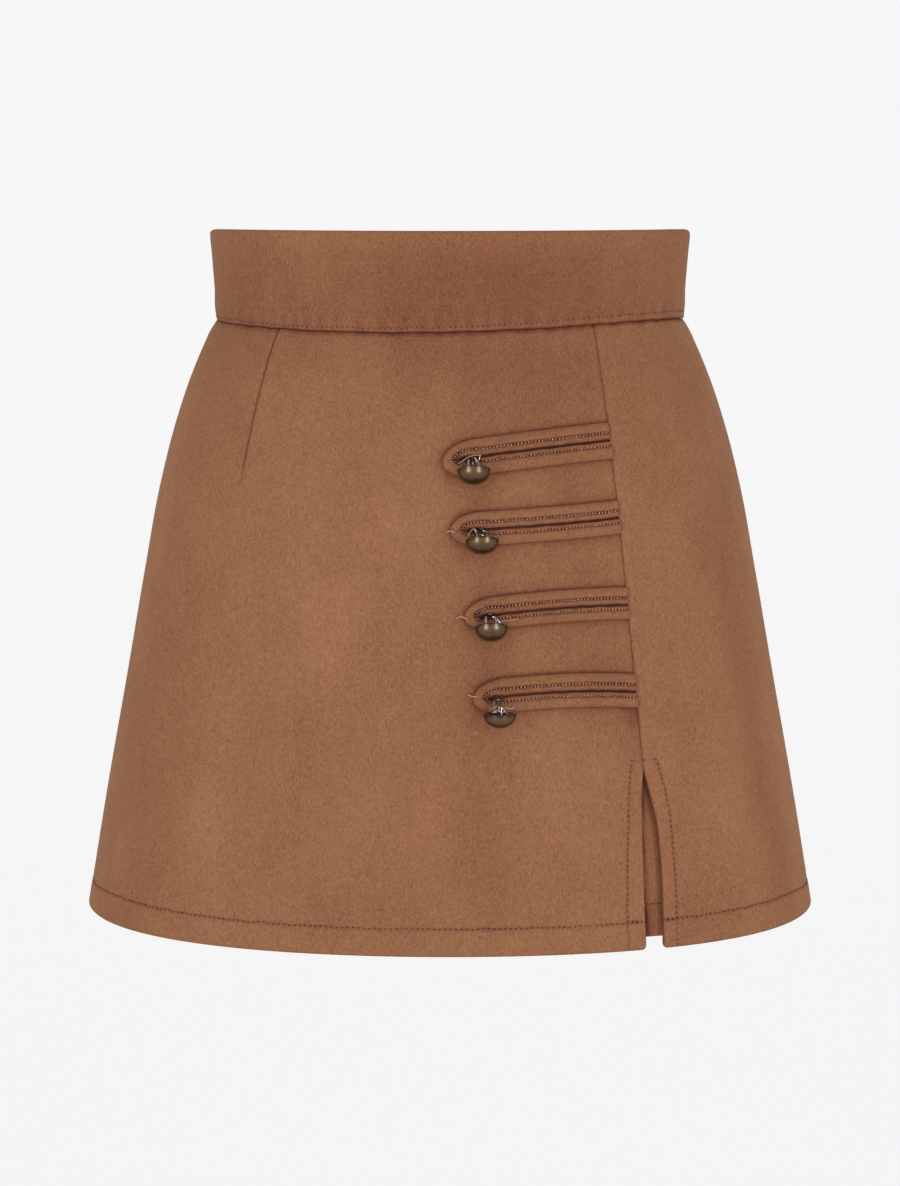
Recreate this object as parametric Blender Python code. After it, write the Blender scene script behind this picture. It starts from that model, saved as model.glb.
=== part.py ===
"""High-waisted skort in suede-look cloth, held open as it is worn.

The shorts are the garment's base: four quarters, a waistband and a zip at the centre back.
The skirt front lies over them. It is sewn into the waistband and both side seams, and is cut
in two panels whose seam ends in a slit. Four button loops are let into that seam.

Metres, +Z up, front towards -Y. The origin is the middle of the waist seam's ring.
A turn is the angle round the body from the centre front, positive towards +X.
"""
import math
from collections import namedtuple

import bmesh
import bpy
import numpy as np
from mathutils import Matrix, Vector

# ---------------------------------------------------------------- driving sizes
BAND_HEIGHT = 0.048
BAND_WALL = 0.0024
BAND_FRONT_DIP = 0.001
BAND_BACK_DIP = 0.0014
BAND_SIDE_DIP = 0.0018
BAND_SIDE_TURN = 8.5
BAND_FRONT_SHARES = (0.0, 0.35, 0.7, 1.0)
BAND_MIDDLE_Z = 0.016
CLOTH_WALL = 0.0016
SEAM_GAP = 0.0003
LAYER_GAP = 0.0005
HEM_Z = -0.3173
HEM_FRONT_DIP = 0.006
SHORTS_HEM_Z = -0.3175
SEAM_FRONT_DIP = 0.0047
SEAM_TILT = 0.0016
SQUARENESS = 0.016
COLUMN_STEP = 5.0

# The body's outer sections from the waist seam down to below the hem.
Section = namedtuple("Section", "z half_width front_depth back_depth")
BODY = (
    Section(0.003, 0.1240, 0.0932, 0.0935),
    Section(0.000, 0.1256, 0.0940, 0.0945),
    Section(-0.012, 0.1319, 0.0970, 0.0985),
    Section(-0.030, 0.1396, 0.1008, 0.1035),
    Section(-0.055, 0.1481, 0.1048, 0.1090),
    Section(-0.090, 0.1572, 0.1090, 0.1145),
    Section(-0.135, 0.1657, 0.1120, 0.1190),
    Section(-0.190, 0.1755, 0.1150, 0.1215),
    Section(-0.250, 0.1865, 0.1190, 0.1230),
    Section(-0.330, 0.2000, 0.1245, 0.1248),
)

# The waistband's outer sections: nearly upright, a little wider at the top.
BAND = (
    Section(-0.006, 0.1258, 0.0942, 0.0942),
    Section(0.000, 0.1260, 0.0945, 0.0945),
    Section(0.050, 0.1292, 0.0974, 0.0974),
)

# Heights of the cloth's rows as shares of the way from the waist seam to the hem.
SKIRT_ROWS = (0.0, 0.022, 0.060, 0.12, 0.21, 0.33, 0.45, 0.585, 0.718, 0.755, 0.82, 0.90, 1.0)

# The panel seam and, under the slit's top, the two free edges: turn in degrees for each share.
Edges = namedtuple("Edges", "share front_panel side_panel")
SLIT = (
    Edges(0.000, 34.2, 34.2),
    Edges(0.060, 32.9, 32.9),
    Edges(0.160, 31.9, 31.9),
    Edges(0.450, 31.5, 31.5),
    Edges(0.718, 31.5, 31.5),
    Edges(0.745, 30.6, 32.0),
    Edges(0.820, 29.8, 33.1),
    Edges(0.900, 29.4, 32.9),
    Edges(1.000, 28.9, 32.2),
)

# The front dart runs straight down from the waist seam.
DART_TURN = -42.3
DART_HALF_WIDTH_TURN = 1.0
DART_SPREAD_TURN = 4.3
DART_SHARE = 0.265
DART_DEPTH = 0.0006

# Shorts: rise seams, crotch and legs.
FRONT_FORK_Z = -0.175
BACK_FORK_Z = -0.150
CROTCH_Z = -0.258
CROTCH_Y = 0.008
LEG_CORNER = 0.045
LEG_PARTING = 0.009
FRONT_LAYER_DROP = 0.0035
FRONT_DROP_LENGTH = 0.120
SHORTS_ROWS = (0.0, -0.007, -0.019, -0.038, -0.067, -0.105, -0.150, -0.185, -0.215, -0.237,
               -0.250, CROTCH_Z, -0.285, SHORTS_HEM_Z)
OUTER_LEG_TURN = 30.0
INNER_LEG_COLUMNS = 9
FRONT_RING_STEPS = 120
LEG_CORNER_STEPS = 30
# Where a row bends, its columns stand closer, as if each radian added this length.
BEND_LENGTH = 0.020
SAME_PLACE = 0.0000001

# Button loops: the strip's path is a hairpin round a narrow slot. Turns are in degrees.
Tab = namedtuple("Tab", "name nose_turn nose_z middle_z seam_z height")
TABS = (
    Tab("tab_1", -1.4, -0.0702, -0.0642, -0.0602, 0.0186),
    Tab("tab_2", 0.0, -0.1049, -0.1023, -0.0993, 0.0174),
    Tab("tab_3", 2.3, -0.1492, -0.1445, -0.1437, 0.0166),
    Tab("tab_4", 3.6, -0.1912, -0.1876, -0.1890, 0.0176),
)
TAB_NOSE_LENGTH = 0.016
TAB_SLOT_HEIGHT = 0.0015
TAB_SLOT_START = 0.0085
TAB_SLOT_NOSE = 0.0015
TAB_STATIONS = 12
TAB_STRAIGHT_SHARE = 0.62
# The strip's section from its outer edge (across 0) to the slot (across 1).
Edge = namedtuple("Edge", "across lift")
TAB_SECTION = (
    Edge(0.00, 0.0003),
    Edge(0.03, 0.0015),
    Edge(0.36, 0.0027),
    Edge(0.70, 0.0014),
    Edge(1.00, 0.0013),
    Edge(1.00, 0.0003),
)

# Half-ball buttons hanging from the slots' ends. Tilt turns the dome's nose outwards, and
# clearance is what is left between the rim and the skirt.
Button = namedtuple("Button", "name turn z tilt clearance")
BUTTONS = (
    Button("button_1", 4.3, -0.0754, 30.0, 0.0005),
    Button("button_2", 5.5, -0.1112, 28.0, 0.0005),
    Button("button_3", 6.6, -0.1552, 32.0, 0.0005),
    Button("button_4", 7.7, -0.1988, 2.0, 0.0031),
)
BUTTON_RADIUS = 0.00825
BUTTON_DOME = 0.0066
BUTTON_RIM = 0.0005
BUTTON_SEGMENTS = 24
BUTTON_DOME_STEPS = 5
EYE_WIRE_RADIUS = 0.0006
EYE_HALF_WIDTH = 0.0022
EYE_LIFT = 0.0023
EYE_FOOT = 0.00054
WIRE_SIDES = 8

# Centre back zip.
ZIP_END_Z = -0.135
ZIP_TOP_Z = 0.046
BACK_REACH_TURN = 20.0
BACK_REACH_STEPS = 200
TAPE_WIDTH = 0.012
TAPE_DEPTH = 0.0027
TAPE_WALL = 0.0006
NOTCH_HALF_WIDTH = 0.0016
NOTCH_START_Z = 0.032
NOTCH_FULL_Z = 0.0345
TAPE_HEIGHTS = (ZIP_TOP_Z, NOTCH_FULL_Z, NOTCH_START_Z, 0.0, -0.030, -0.065, -0.100, ZIP_END_Z)
SLIDER_SIZE = (0.0084, 0.0023, 0.010)
SLIDER_CORNER = 0.0015
SLIDER_Z = 0.040
PIN_STANDOFF = 0.0013
BRIDGE_WIRE_RADIUS = 0.0007
BRIDGE_LOW_Z = 0.0365
BRIDGE_HIGH_Z = 0.0435
BRIDGE_CORNER = 0.0015
PULL_THICKNESS = 0.0012
PULL_LENGTH = 0.024
PULL_WINDOW = 0.0070
PULL_WINDOW_HALF = 0.00115
PULL_CLEARANCE = 0.0004
PULL_ARM_HALF_WIDTHS = (0.0023, 0.0024, 0.0025)
# The pull's blade below its window, as shares of the blade's length.
Blade = namedtuple("Blade", "share half_width middle_half_width")
PULL_BLADE = (
    Blade(0.35, 0.0028, 0.0014),
    Blade(0.75, 0.0031, 0.0016),
    Blade(0.92, 0.0025, 0.0014),
    Blade(1.00, 0.0012, 0.0007),
)

# ---------------------------------------------------------------- finishes
FINISHES = {
    "suede": ((0.30, 0.125, 0.062, 1.0), 0.9, 0.0),
    "suede_inner": ((0.26, 0.105, 0.052, 1.0), 0.9, 0.0),
    "aged_bronze": ((0.14, 0.10, 0.065, 1.0), 0.35, 1.0),
    "eye_wire": ((0.62, 0.60, 0.55, 1.0), 0.3, 1.0),
    "zip_tape": ((0.22, 0.09, 0.05, 1.0), 0.8, 0.0),
    "zip_metal": ((0.16, 0.12, 0.08, 1.0), 0.4, 1.0),
}


def clear_scene():
    for thing in list(bpy.data.objects):
        bpy.data.objects.remove(thing, do_unlink=True)


def finish(name, kind):
    """A Principled material of the given kind for one piece."""
    color, roughness, metallic = FINISHES[kind]
    material = bpy.data.materials.new(name + "_" + kind)
    material.use_nodes = True
    shader = material.node_tree.nodes["Principled BSDF"]
    shader.inputs["Base Color"].default_value = color
    shader.inputs["Roughness"].default_value = roughness
    shader.inputs["Metallic"].default_value = metallic
    material.diffuse_color = color
    return material


def add_object(name, mesh_maker, kind, smooth_angle=40.0):
    """Link a finished mesh object, with its faces pointing out."""
    bmesh.ops.recalc_face_normals(mesh_maker, faces=mesh_maker.faces)
    mesh = bpy.data.meshes.new(name)
    mesh_maker.to_mesh(mesh)
    mesh_maker.free()
    mesh.materials.append(finish(name, kind))
    mesh.shade_smooth()
    mesh.set_sharp_from_angle(angle=math.radians(smooth_angle))
    thing = bpy.data.objects.new(name, mesh)
    bpy.context.scene.collection.objects.link(thing)
    return thing


# ---------------------------------------------------------------- the body's form
def curve_through(rows, height, column):
    """Smooth value of one column of a table at a value of its first column, with no overshoot."""
    table = sorted(rows)
    heights = [row[0] for row in table]
    values = [getattr(row, column) for row in table]
    height = min(max(height, heights[0]), heights[-1])
    last = len(table) - 1
    index = 0
    while index < last - 1 and height > heights[index + 1]:
        index += 1

    def slope(at):
        if at == 0 or at == last:
            near = 0 if at == 0 else last - 1
            return (values[near + 1] - values[near]) / (heights[near + 1] - heights[near])
        below = heights[at] - heights[at - 1]
        above = heights[at + 1] - heights[at]
        rise_below = (values[at] - values[at - 1]) / below
        rise_above = (values[at + 1] - values[at]) / above
        if rise_below * rise_above <= 0.0:
            return 0.0
        return (rise_below * above + rise_above * below) / (below + above)

    span = heights[index + 1] - heights[index]
    part = (height - heights[index]) / span
    keep = (1.0 + 2.0 * part) * (1.0 - part) ** 2
    start_pull = part * (1.0 - part) ** 2 * span
    end_pull = part * part * (part - 1.0) * span
    return (keep * values[index] + (1.0 - keep) * values[index + 1]
            + start_pull * slope(index) + end_pull * slope(index + 1))


def ring_point(turn, half_width, front_depth, back_depth):
    """Plan position on a softly squared oval ring."""
    angle = math.radians(turn)
    across = (math.sin(angle) + SQUARENESS * math.sin(3.0 * angle)) / (1.0 - SQUARENESS)
    ahead = (math.cos(angle) - SQUARENESS * math.cos(3.0 * angle)) / (1.0 - SQUARENESS)
    depth = front_depth if ahead > 0.0 else back_depth
    return half_width * across, -depth * ahead


def table_point(rows, turn, z):
    x, y = ring_point(turn, curve_through(rows, z, "half_width"),
                      curve_through(rows, z, "front_depth"), curve_through(rows, z, "back_depth"))
    return np.array((x, y, z))


def body_point(turn, z):
    return table_point(BODY, turn, z)


def band_point(turn, z):
    return table_point(BAND, turn, z)


def outward(surface, turn, z):
    """Unit normal of a surface that is given as a function of turn and height."""
    small_turn, small_z = 0.05, 0.00005
    along = surface(turn + small_turn, z) - surface(turn - small_turn, z)
    down = surface(turn, z - small_z) - surface(turn, z + small_z)
    normal = np.cross(down, along)
    return normal / np.linalg.norm(normal)


def arc_per_degree(turn, z):
    return float(np.linalg.norm(body_point(turn + 0.5, z) - body_point(turn - 0.5, z)))


def front_part(turn):
    """1 at the centre front, falling to 0 at the side seams and behind them."""
    return max(0.0, math.cos(math.radians(turn)))


def waist_seam_z(turn):
    """The waist seam dips at the front and stands a little higher on the +X side."""
    ahead = front_part(turn)
    tilt = SEAM_TILT * math.sin(math.radians(2.0 * turn)) if ahead > 0.0 else 0.0
    return tilt - SEAM_FRONT_DIP * ahead ** 3


def skirt_hem_z(turn):
    return HEM_Z - HEM_FRONT_DIP * front_part(turn)


def skirt_z(turn, share):
    top = waist_seam_z(turn) - SEAM_GAP / 2.0
    return top + share * (skirt_hem_z(turn) - top)


def edge_turn(share, panel):
    """Turn of the panel seam, or below the slit's top of one panel's free edge."""
    return curve_through(SLIT, share, panel)


# ---------------------------------------------------------------- cloth walls
def cloth_wall(name, outer, inner, kind):
    """Closed wall between two grids of points, given as rows of columns."""
    rows, columns = len(outer), len(outer[0])
    maker = bmesh.new()
    faces = [[[maker.verts.new(Vector(point)) for point in row] for row in grid]
             for grid in (outer, inner)]
    front, back = faces
    for r in range(rows - 1):
        for c in range(columns - 1):
            maker.faces.new((front[r][c], front[r + 1][c], front[r + 1][c + 1], front[r][c + 1]))
            maker.faces.new((back[r][c], back[r][c + 1], back[r + 1][c + 1], back[r + 1][c]))
    for c in range(columns - 1):
        maker.faces.new((front[0][c], front[0][c + 1], back[0][c + 1], back[0][c]))
        maker.faces.new((front[-1][c], back[-1][c], back[-1][c + 1], front[-1][c + 1]))
    for r in range(rows - 1):
        maker.faces.new((front[r][0], back[r][0], back[r + 1][0], front[r + 1][0]))
        maker.faces.new((front[r][-1], front[r + 1][-1], back[r + 1][-1], back[r][-1]))
    return add_object(name, maker, kind)


def shifted_to_plane(point, axis, value):
    moved = point.copy()
    moved[axis] = value
    return moved


def turns_between(first, last):
    """Even columns from one turn to another, about COLUMN_STEP apart."""
    count = max(1, round(abs(last - first) / COLUMN_STEP))
    return [first + (last - first) * i / count for i in range(count + 1)]


# ---------------------------------------------------------------- waistband
def back_edge_x(z):
    """Half the opening between the back edges: a seam's gap, parted round the slider's neck."""
    if z <= NOTCH_START_Z:
        return SEAM_GAP / 2.0
    part = min(1.0, (z - NOTCH_START_Z) / (NOTCH_FULL_Z - NOTCH_START_Z))
    return SEAM_GAP / 2.0 + part * (NOTCH_HALF_WIDTH - SEAM_GAP / 2.0)


def band_top_z(turn):
    """The top edge dips at the front and the back, and is rounded off over the side seams."""
    ahead = math.cos(math.radians(turn))
    dip = BAND_FRONT_DIP if ahead > 0.0 else BAND_BACK_DIP
    side = math.exp(-((abs(turn) - 90.0) / BAND_SIDE_TURN) ** 2)
    return BAND_HEIGHT - dip * ahead * ahead - BAND_SIDE_DIP * side


def make_band_front():
    turns = turns_between(-90.0, 90.0)
    outer, inner = [], []
    for share in BAND_FRONT_SHARES:
        outer_row, inner_row = [], []
        for turn in turns:
            bottom = waist_seam_z(turn) + SEAM_GAP / 2.0
            z = bottom + share * (band_top_z(turn) - bottom)
            point = band_point(turn, z)
            normal = outward(band_point, turn, z)
            behind = point - normal * BAND_WALL
            if abs(turn) == 90.0:
                point = shifted_to_plane(point, 1, -SEAM_GAP / 2.0)
                behind = shifted_to_plane(behind, 1, -SEAM_GAP / 2.0)
            outer_row.append(point)
            inner_row.append(behind)
        outer.append(outer_row)
        inner.append(inner_row)
    cloth_wall("waistband_front", outer, inner, "suede")


def make_band_back(name, side):
    """One back half of the waistband, from the side seam to the zip."""
    turns = turns_between(90.0, 180.0)
    heights = (SEAM_GAP / 2.0, BAND_MIDDLE_Z, NOTCH_START_Z, NOTCH_FULL_Z, BAND_HEIGHT)
    outer, inner = [], []
    for height in heights:
        outer_row, inner_row = [], []
        for turn in turns:
            z = min(height, band_top_z(turn))
            point = band_point(turn, z)
            behind = point - outward(band_point, turn, z) * BAND_WALL
            if turn == 90.0:
                point = shifted_to_plane(point, 1, SEAM_GAP / 2.0)
                behind = shifted_to_plane(behind, 1, SEAM_GAP / 2.0)
            if turn == 180.0:
                point = shifted_to_plane(point, 0, back_edge_x(z))
                behind = shifted_to_plane(behind, 0, back_edge_x(z))
            mirror = np.array((side, 1.0, 1.0))
            outer_row.append(point * mirror)
            inner_row.append(behind * mirror)
        outer.append(outer_row)
        inner.append(inner_row)
    cloth_wall(name, outer, inner, "suede")


# ---------------------------------------------------------------- skirt front
def dart_press(turn, share):
    """How far the dart's fold line sinks into the panel."""
    if turn != DART_TURN or share >= DART_SHARE:
        return 0.0
    return DART_DEPTH * (1.0 - share / DART_SHARE)


def skirt_columns(turns, edge_turns):
    """Points of a skirt panel. Each turn is a number, or None for the edge along the slit."""
    outer, inner = [], []
    for share in SKIRT_ROWS:
        outer_row, inner_row = [], []
        for turn in turns:
            at = turn
            if turn is None:
                column, away = edge_turns
                at = edge_turn(share, column)
                at += away * SEAM_GAP / 2.0 / arc_per_degree(at, skirt_z(at, share))
            z = skirt_z(at, share)
            point = body_point(at, z)
            normal = outward(body_point, at, z)
            behind = point - normal * CLOTH_WALL
            point = point - normal * dart_press(at, share)
            if abs(at) == 90.0:
                point = shifted_to_plane(point, 1, -SEAM_GAP / 2.0)
                behind = shifted_to_plane(behind, 1, -SEAM_GAP / 2.0)
            outer_row.append(point)
            inner_row.append(behind)
        outer.append(outer_row)
        inner.append(inner_row)
    return outer, inner


def make_front_panel():
    dart = [DART_TURN - DART_HALF_WIDTH_TURN, DART_TURN, DART_TURN + DART_HALF_WIDTH_TURN]
    before, after = [DART_TURN - DART_SPREAD_TURN], [DART_TURN + DART_SPREAD_TURN]
    turns = turns_between(-90.0, -50.0) + before + dart + after + turns_between(-35.0, 25.0)
    outer, inner = skirt_columns(turns + [None], ("front_panel", -1.0))
    cloth_wall("front_panel", outer, inner, "suede")


def make_side_front_panel():
    outer, inner = skirt_columns([None] + turns_between(40.0, 90.0), ("side_panel", 1.0))
    cloth_wall("side_front_panel", outer, inner, "suede")


# ---------------------------------------------------------------- shorts
def slanted(size, z, column):
    """Level distance that a slanting wall needs for a size measured square to it."""
    small = 0.001
    slope = (curve_through(BODY, z - small, column) - curve_through(BODY, z + small, column))
    return size * math.hypot(1.0, slope / (2.0 * small))


def shorts_ring(z, front):
    """Half width and depth of the shorts' outer face. The front hangs behind the skirt."""
    half_width = curve_through(BODY, z, "half_width")
    if not front:
        return half_width, curve_through(BODY, z, "back_depth")
    tucked = CLOTH_WALL + LAYER_GAP
    part = min(1.0, max(0.0, -z / FRONT_DROP_LENGTH))
    drop = FRONT_LAYER_DROP * part * part * (3.0 - 2.0 * part)
    depth = curve_through(BODY, z, "front_depth") - slanted(tucked, z, "front_depth") - drop
    return half_width - slanted(tucked, z, "half_width"), depth


def shorts_row(z, front):
    """One level of a quarter, x > 0, from the centre seam to the side seam.

    Each point is (x, distance out to the front or back, turn), so both quarters share it.
    """
    half_width, depth = shorts_ring(z, front)
    fork_z = FRONT_FORK_Z if front else BACK_FORK_Z
    end = -(CROTCH_Y - SEAM_GAP / 2.0) if front else CROTCH_Y + SEAM_GAP / 2.0
    forked = min(1.0, max(0.0, (fork_z - z) / (fork_z - CROTCH_Z)))
    fold = (depth - end) * (1.0 - math.sqrt(1.0 - forked * forked))
    corner = LEG_CORNER * (1.0 - math.exp(-fold / LEG_CORNER))
    below = max(0.0, (CROTCH_Z - z) / (CROTCH_Z - SHORTS_HEM_Z))
    inner_x = SEAM_GAP / 2.0 + LEG_PARTING * below

    turns = np.linspace(0.0, OUTER_LEG_TURN, FRONT_RING_STEPS + 1)
    ring = np.array([ring_point(turn, half_width, depth, depth) for turn in turns])
    ring_x, ring_out = ring[:, 0], -ring[:, 1]
    bend = np.radians(np.linspace(0.0, 90.0, LEG_CORNER_STEPS + 1))
    corner_x = inner_x + corner * (1.0 - np.sin(bend))
    corner_out = np.interp(corner_x, ring_x, ring_out) - corner * (1.0 - np.cos(bend))
    wide = ring_x > corner_x[0] + SAME_PLACE
    x = np.concatenate((ring_x[wide][::-1], corner_x, (inner_x,)))
    out = np.concatenate((ring_out[wide][::-1], corner_out, (min(corner_out[-1], depth - fold),)))
    moved = np.concatenate(((True,), np.hypot(np.diff(x), np.diff(out)) > SAME_PLACE))
    x, out = x[moved], out[moved]
    heading = np.unwrap(np.arctan2(np.diff(out), np.diff(x)))
    bends = np.concatenate(((0.0,), np.abs(np.diff(heading))))
    run = np.hypot(np.diff(x), np.diff(out)) + BEND_LENGTH * bends
    run = np.concatenate(((0.0,), np.cumsum(run)))
    points = []
    for mark in np.linspace(run[-1], 0.0, INNER_LEG_COLUMNS + 1):
        point_x, point_out = np.interp(mark, run, x), np.interp(mark, run, out)
        turn = math.degrees(math.atan2(point_x / half_width, max(point_out, 0.0) / depth))
        points.append((point_x, point_out, turn))
    for turn in turns_between(OUTER_LEG_TURN, 90.0)[1:]:
        point_x, y = ring_point(turn, half_width, depth, depth)
        points.append((point_x, -y, turn))
    return points


def make_shorts_quarter(name, side, front):
    """One cut quarter of the shorts, with its rise seam, inseam, side seam and hem."""
    grid = []
    for level in SHORTS_ROWS:
        row = []
        for x, out, turn in shorts_row(level, front):
            z = level
            if front:
                z += waist_seam_z(turn * side) * (1.0 - level / SHORTS_HEM_Z)
            if level == 0.0:
                z -= SEAM_GAP / 2.0
            row.append((x, -out if front else out, z))
        grid.append(row)
    outer = np.array(grid)
    across = np.gradient(outer, axis=1)
    down = np.gradient(outer, axis=0)
    normals = np.cross(across, down)
    if front:
        normals = -normals
    if normals[0, -1, 0] < 0.0:
        normals = -normals
    normals[:, -1, 1] = 0.0
    crotch_row = SHORTS_ROWS.index(CROTCH_Z)
    normals[crotch_row:, 0, 1] = 0.0
    fork_z = FRONT_FORK_Z if front else BACK_FORK_Z
    for r, level in enumerate(SHORTS_ROWS):
        if level >= fork_z:
            normals[r, 0, 0] = 0.0
    normals /= np.linalg.norm(normals, axis=2)[:, :, None]
    inner = outer - normals * CLOTH_WALL
    edge_y = -SEAM_GAP / 2.0 if front else SEAM_GAP / 2.0
    outer[:, -1, 1] = edge_y
    inner[:, -1, 1] = edge_y
    inner[0, :, 2] = outer[0, :, 2]
    inner[-1, :, 2] = outer[-1, :, 2]
    mirror = np.array((side, 1.0, 1.0))
    cloth_wall(name, outer * mirror, inner * mirror, "suede_inner" if front else "suede")


# ---------------------------------------------------------------- button loops
def tab_place(tab, along, across, lift):
    """Point on the skirt front: along is 0 at the nose and 1 at the panel seam."""
    seam_turn = edge_turn(tab.seam_z / HEM_Z, "front_panel")
    seam_turn -= 1.5 * SEAM_GAP / arc_per_degree(seam_turn, tab.seam_z)
    turn = tab.nose_turn + (seam_turn - tab.nose_turn) * along
    bend = 2.0 * (tab.nose_z + tab.seam_z - 2.0 * tab.middle_z)
    spine = tab.nose_z + (tab.seam_z - tab.nose_z - bend) * along + bend * along * along
    z = spine + across
    return body_point(turn, z) + outward(body_point, turn, z) * lift


def tab_length(tab):
    points = [tab_place(tab, i / 10.0, 0.0, 0.0) for i in range(11)]
    return sum(float(np.linalg.norm(b - a)) for a, b in zip(points, points[1:]))


def hairpin(length, start, nose, half_height, station):
    """Position on a hairpin curve: station runs from 0 over the nose at 1 and back to 2."""
    up = station <= 1.0
    way = station if up else 2.0 - station
    side = 1.0 if up else -1.0
    if way < TAB_STRAIGHT_SHARE:
        along = length + (start + nose - length) * way / TAB_STRAIGHT_SHARE
        return along, side * half_height
    angle = math.radians(90.0) * (way - TAB_STRAIGHT_SHARE) / (1.0 - TAB_STRAIGHT_SHARE)
    return start + nose * (1.0 - math.sin(angle)), side * half_height * math.cos(angle)


def make_tab(tab):
    """A folded strip bent into a hairpin and laid on the skirt front."""
    length = tab_length(tab)
    stations = [i / TAB_STATIONS for i in range(2 * TAB_STATIONS + 1)]
    maker = bmesh.new()
    rings = []
    for station in stations:
        outer = hairpin(length, 0.0, TAB_NOSE_LENGTH, tab.height / 2.0, station)
        inner = hairpin(length, TAB_SLOT_START, TAB_SLOT_NOSE, TAB_SLOT_HEIGHT / 2.0, station)
        ring = []
        for share, lift in TAB_SECTION:
            along = outer[0] + (inner[0] - outer[0]) * share
            across = outer[1] + (inner[1] - outer[1]) * share
            ring.append(maker.verts.new(Vector(tab_place(tab, along / length, across, lift))))
        rings.append(ring)
    size = len(TAB_SECTION)
    for ring, following in zip(rings, rings[1:]):
        for i in range(size):
            j = (i + 1) % size
            maker.faces.new((ring[i], ring[j], following[j], following[i]))
    maker.faces.new(rings[0])
    maker.faces.new(list(reversed(rings[-1])))
    add_object(tab.name, maker, "suede")


# ---------------------------------------------------------------- buttons
def button_frame(button):
    """Axes of a hanging button: x along the cloth, nose down and out, and the rim's centre."""
    normal = outward(body_point, button.turn, button.z)
    out = Vector((normal[0], normal[1], 0.0)).normalized()
    up = Vector((0.0, 0.0, 1.0))
    angle = math.radians(button.tilt)
    nose = out * math.sin(angle) - up * math.cos(angle)
    across = out.cross(up)
    standoff = BUTTON_RADIUS * math.cos(angle) + button.clearance
    centre = Vector(body_point(button.turn, button.z)) + Vector(normal) * standoff
    return across, nose, centre


def make_button(button):
    """Dome with a flat back, turned about its nose."""
    across, nose, centre = button_frame(button)
    side = nose.cross(across)
    profile = [(0.0, -BUTTON_RIM), (BUTTON_RADIUS - BUTTON_RIM, -BUTTON_RIM)]
    for i in range(BUTTON_DOME_STEPS + 1):
        angle = math.radians(90.0 * i / BUTTON_DOME_STEPS)
        profile.append((BUTTON_RADIUS * math.cos(angle), BUTTON_DOME * math.sin(angle)))
    maker = bmesh.new()
    back = maker.verts.new(centre + nose * profile[0][1])
    tip = maker.verts.new(centre + nose * profile[-1][1])
    rings = []
    for radius, depth in profile[1:-1]:
        ring = []
        for k in range(BUTTON_SEGMENTS):
            angle = 2.0 * math.pi * k / BUTTON_SEGMENTS
            spoke = across * math.cos(angle) + side * math.sin(angle)
            ring.append(maker.verts.new(centre + nose * depth + spoke * radius))
        rings.append(ring)
    for k in range(BUTTON_SEGMENTS):
        n = (k + 1) % BUTTON_SEGMENTS
        maker.faces.new((back, rings[0][k], rings[0][n]))
        maker.faces.new((tip, rings[-1][n], rings[-1][k]))
        for ring, following in zip(rings, rings[1:]):
            maker.faces.new((ring[k], following[k], following[n], ring[n]))
    add_object(button.name, maker, "aged_bronze")


def tube(maker, path, radius, side_axis):
    """Round wire along a path that lies square to side_axis, with flat ends."""
    rings = []
    for i, point in enumerate(path):
        before = path[max(i - 1, 0)]
        after = path[min(i + 1, len(path) - 1)]
        ahead = (after - before).normalized()
        other = ahead.cross(side_axis).normalized()
        ring = []
        for k in range(WIRE_SIDES):
            angle = 2.0 * math.pi * (k + 0.5) / WIRE_SIDES
            spoke = side_axis * math.cos(angle) + other * math.sin(angle)
            ring.append(maker.verts.new(point + spoke * radius))
        rings.append(ring)
    for ring, following in zip(rings, rings[1:]):
        for k in range(WIRE_SIDES):
            n = (k + 1) % WIRE_SIDES
            maker.faces.new((ring[k], ring[n], following[n], following[k]))
    maker.faces.new(list(reversed(rings[0])))
    maker.faces.new(rings[-1])


def make_button_eye(button, tab):
    """Wire eye that rises from the button's flat back and leans into the end of the slot."""
    across, nose, centre = button_frame(button)
    seam_turn = edge_turn(tab.seam_z / HEM_Z, "front_panel")
    along = (button.turn - tab.nose_turn) / (seam_turn - tab.nose_turn)
    apex = Vector(tab_place(tab, along, 0.0, EYE_LIFT))
    base = centre - nose * (BUTTON_RIM + SEAM_GAP)
    reach = apex - base
    lean = reach.normalized()
    face = across.cross(lean).normalized()
    shoulder = reach.length - EYE_HALF_WIDTH
    path = []
    for sign in (-1.0, 1.0):
        leg = [base + across * (sign * EYE_HALF_WIDTH) + lean * height
               for height in (EYE_FOOT, (EYE_FOOT + shoulder) / 2.0)]
        path += leg if sign < 0.0 else list(reversed(leg))
    top = base + lean * shoulder
    arch = [top + across * (-EYE_HALF_WIDTH * math.cos(math.radians(a)))
            + lean * (EYE_HALF_WIDTH * math.sin(math.radians(a))) for a in range(0, 181, 30)]
    maker = bmesh.new()
    tube(maker, path[:2] + arch + path[2:], EYE_WIRE_RADIUS, face)
    add_object(button.name.replace("button", "button_eye"), maker, "eye_wire")


# ---------------------------------------------------------------- centre back zip
def back_surface(x, z):
    """Y of the outer back surface at a given x near the centre back."""
    rows = BAND if z > 0.0 else BODY
    half_width = curve_through(rows, z, "half_width")
    depth = curve_through(rows, z, "back_depth")
    turns = np.linspace(0.0, BACK_REACH_TURN, BACK_REACH_STEPS + 1)
    ring = np.array([ring_point(turn, half_width, depth, depth) for turn in turns])
    return float(np.interp(x, ring[:, 0], -ring[:, 1]))


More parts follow.
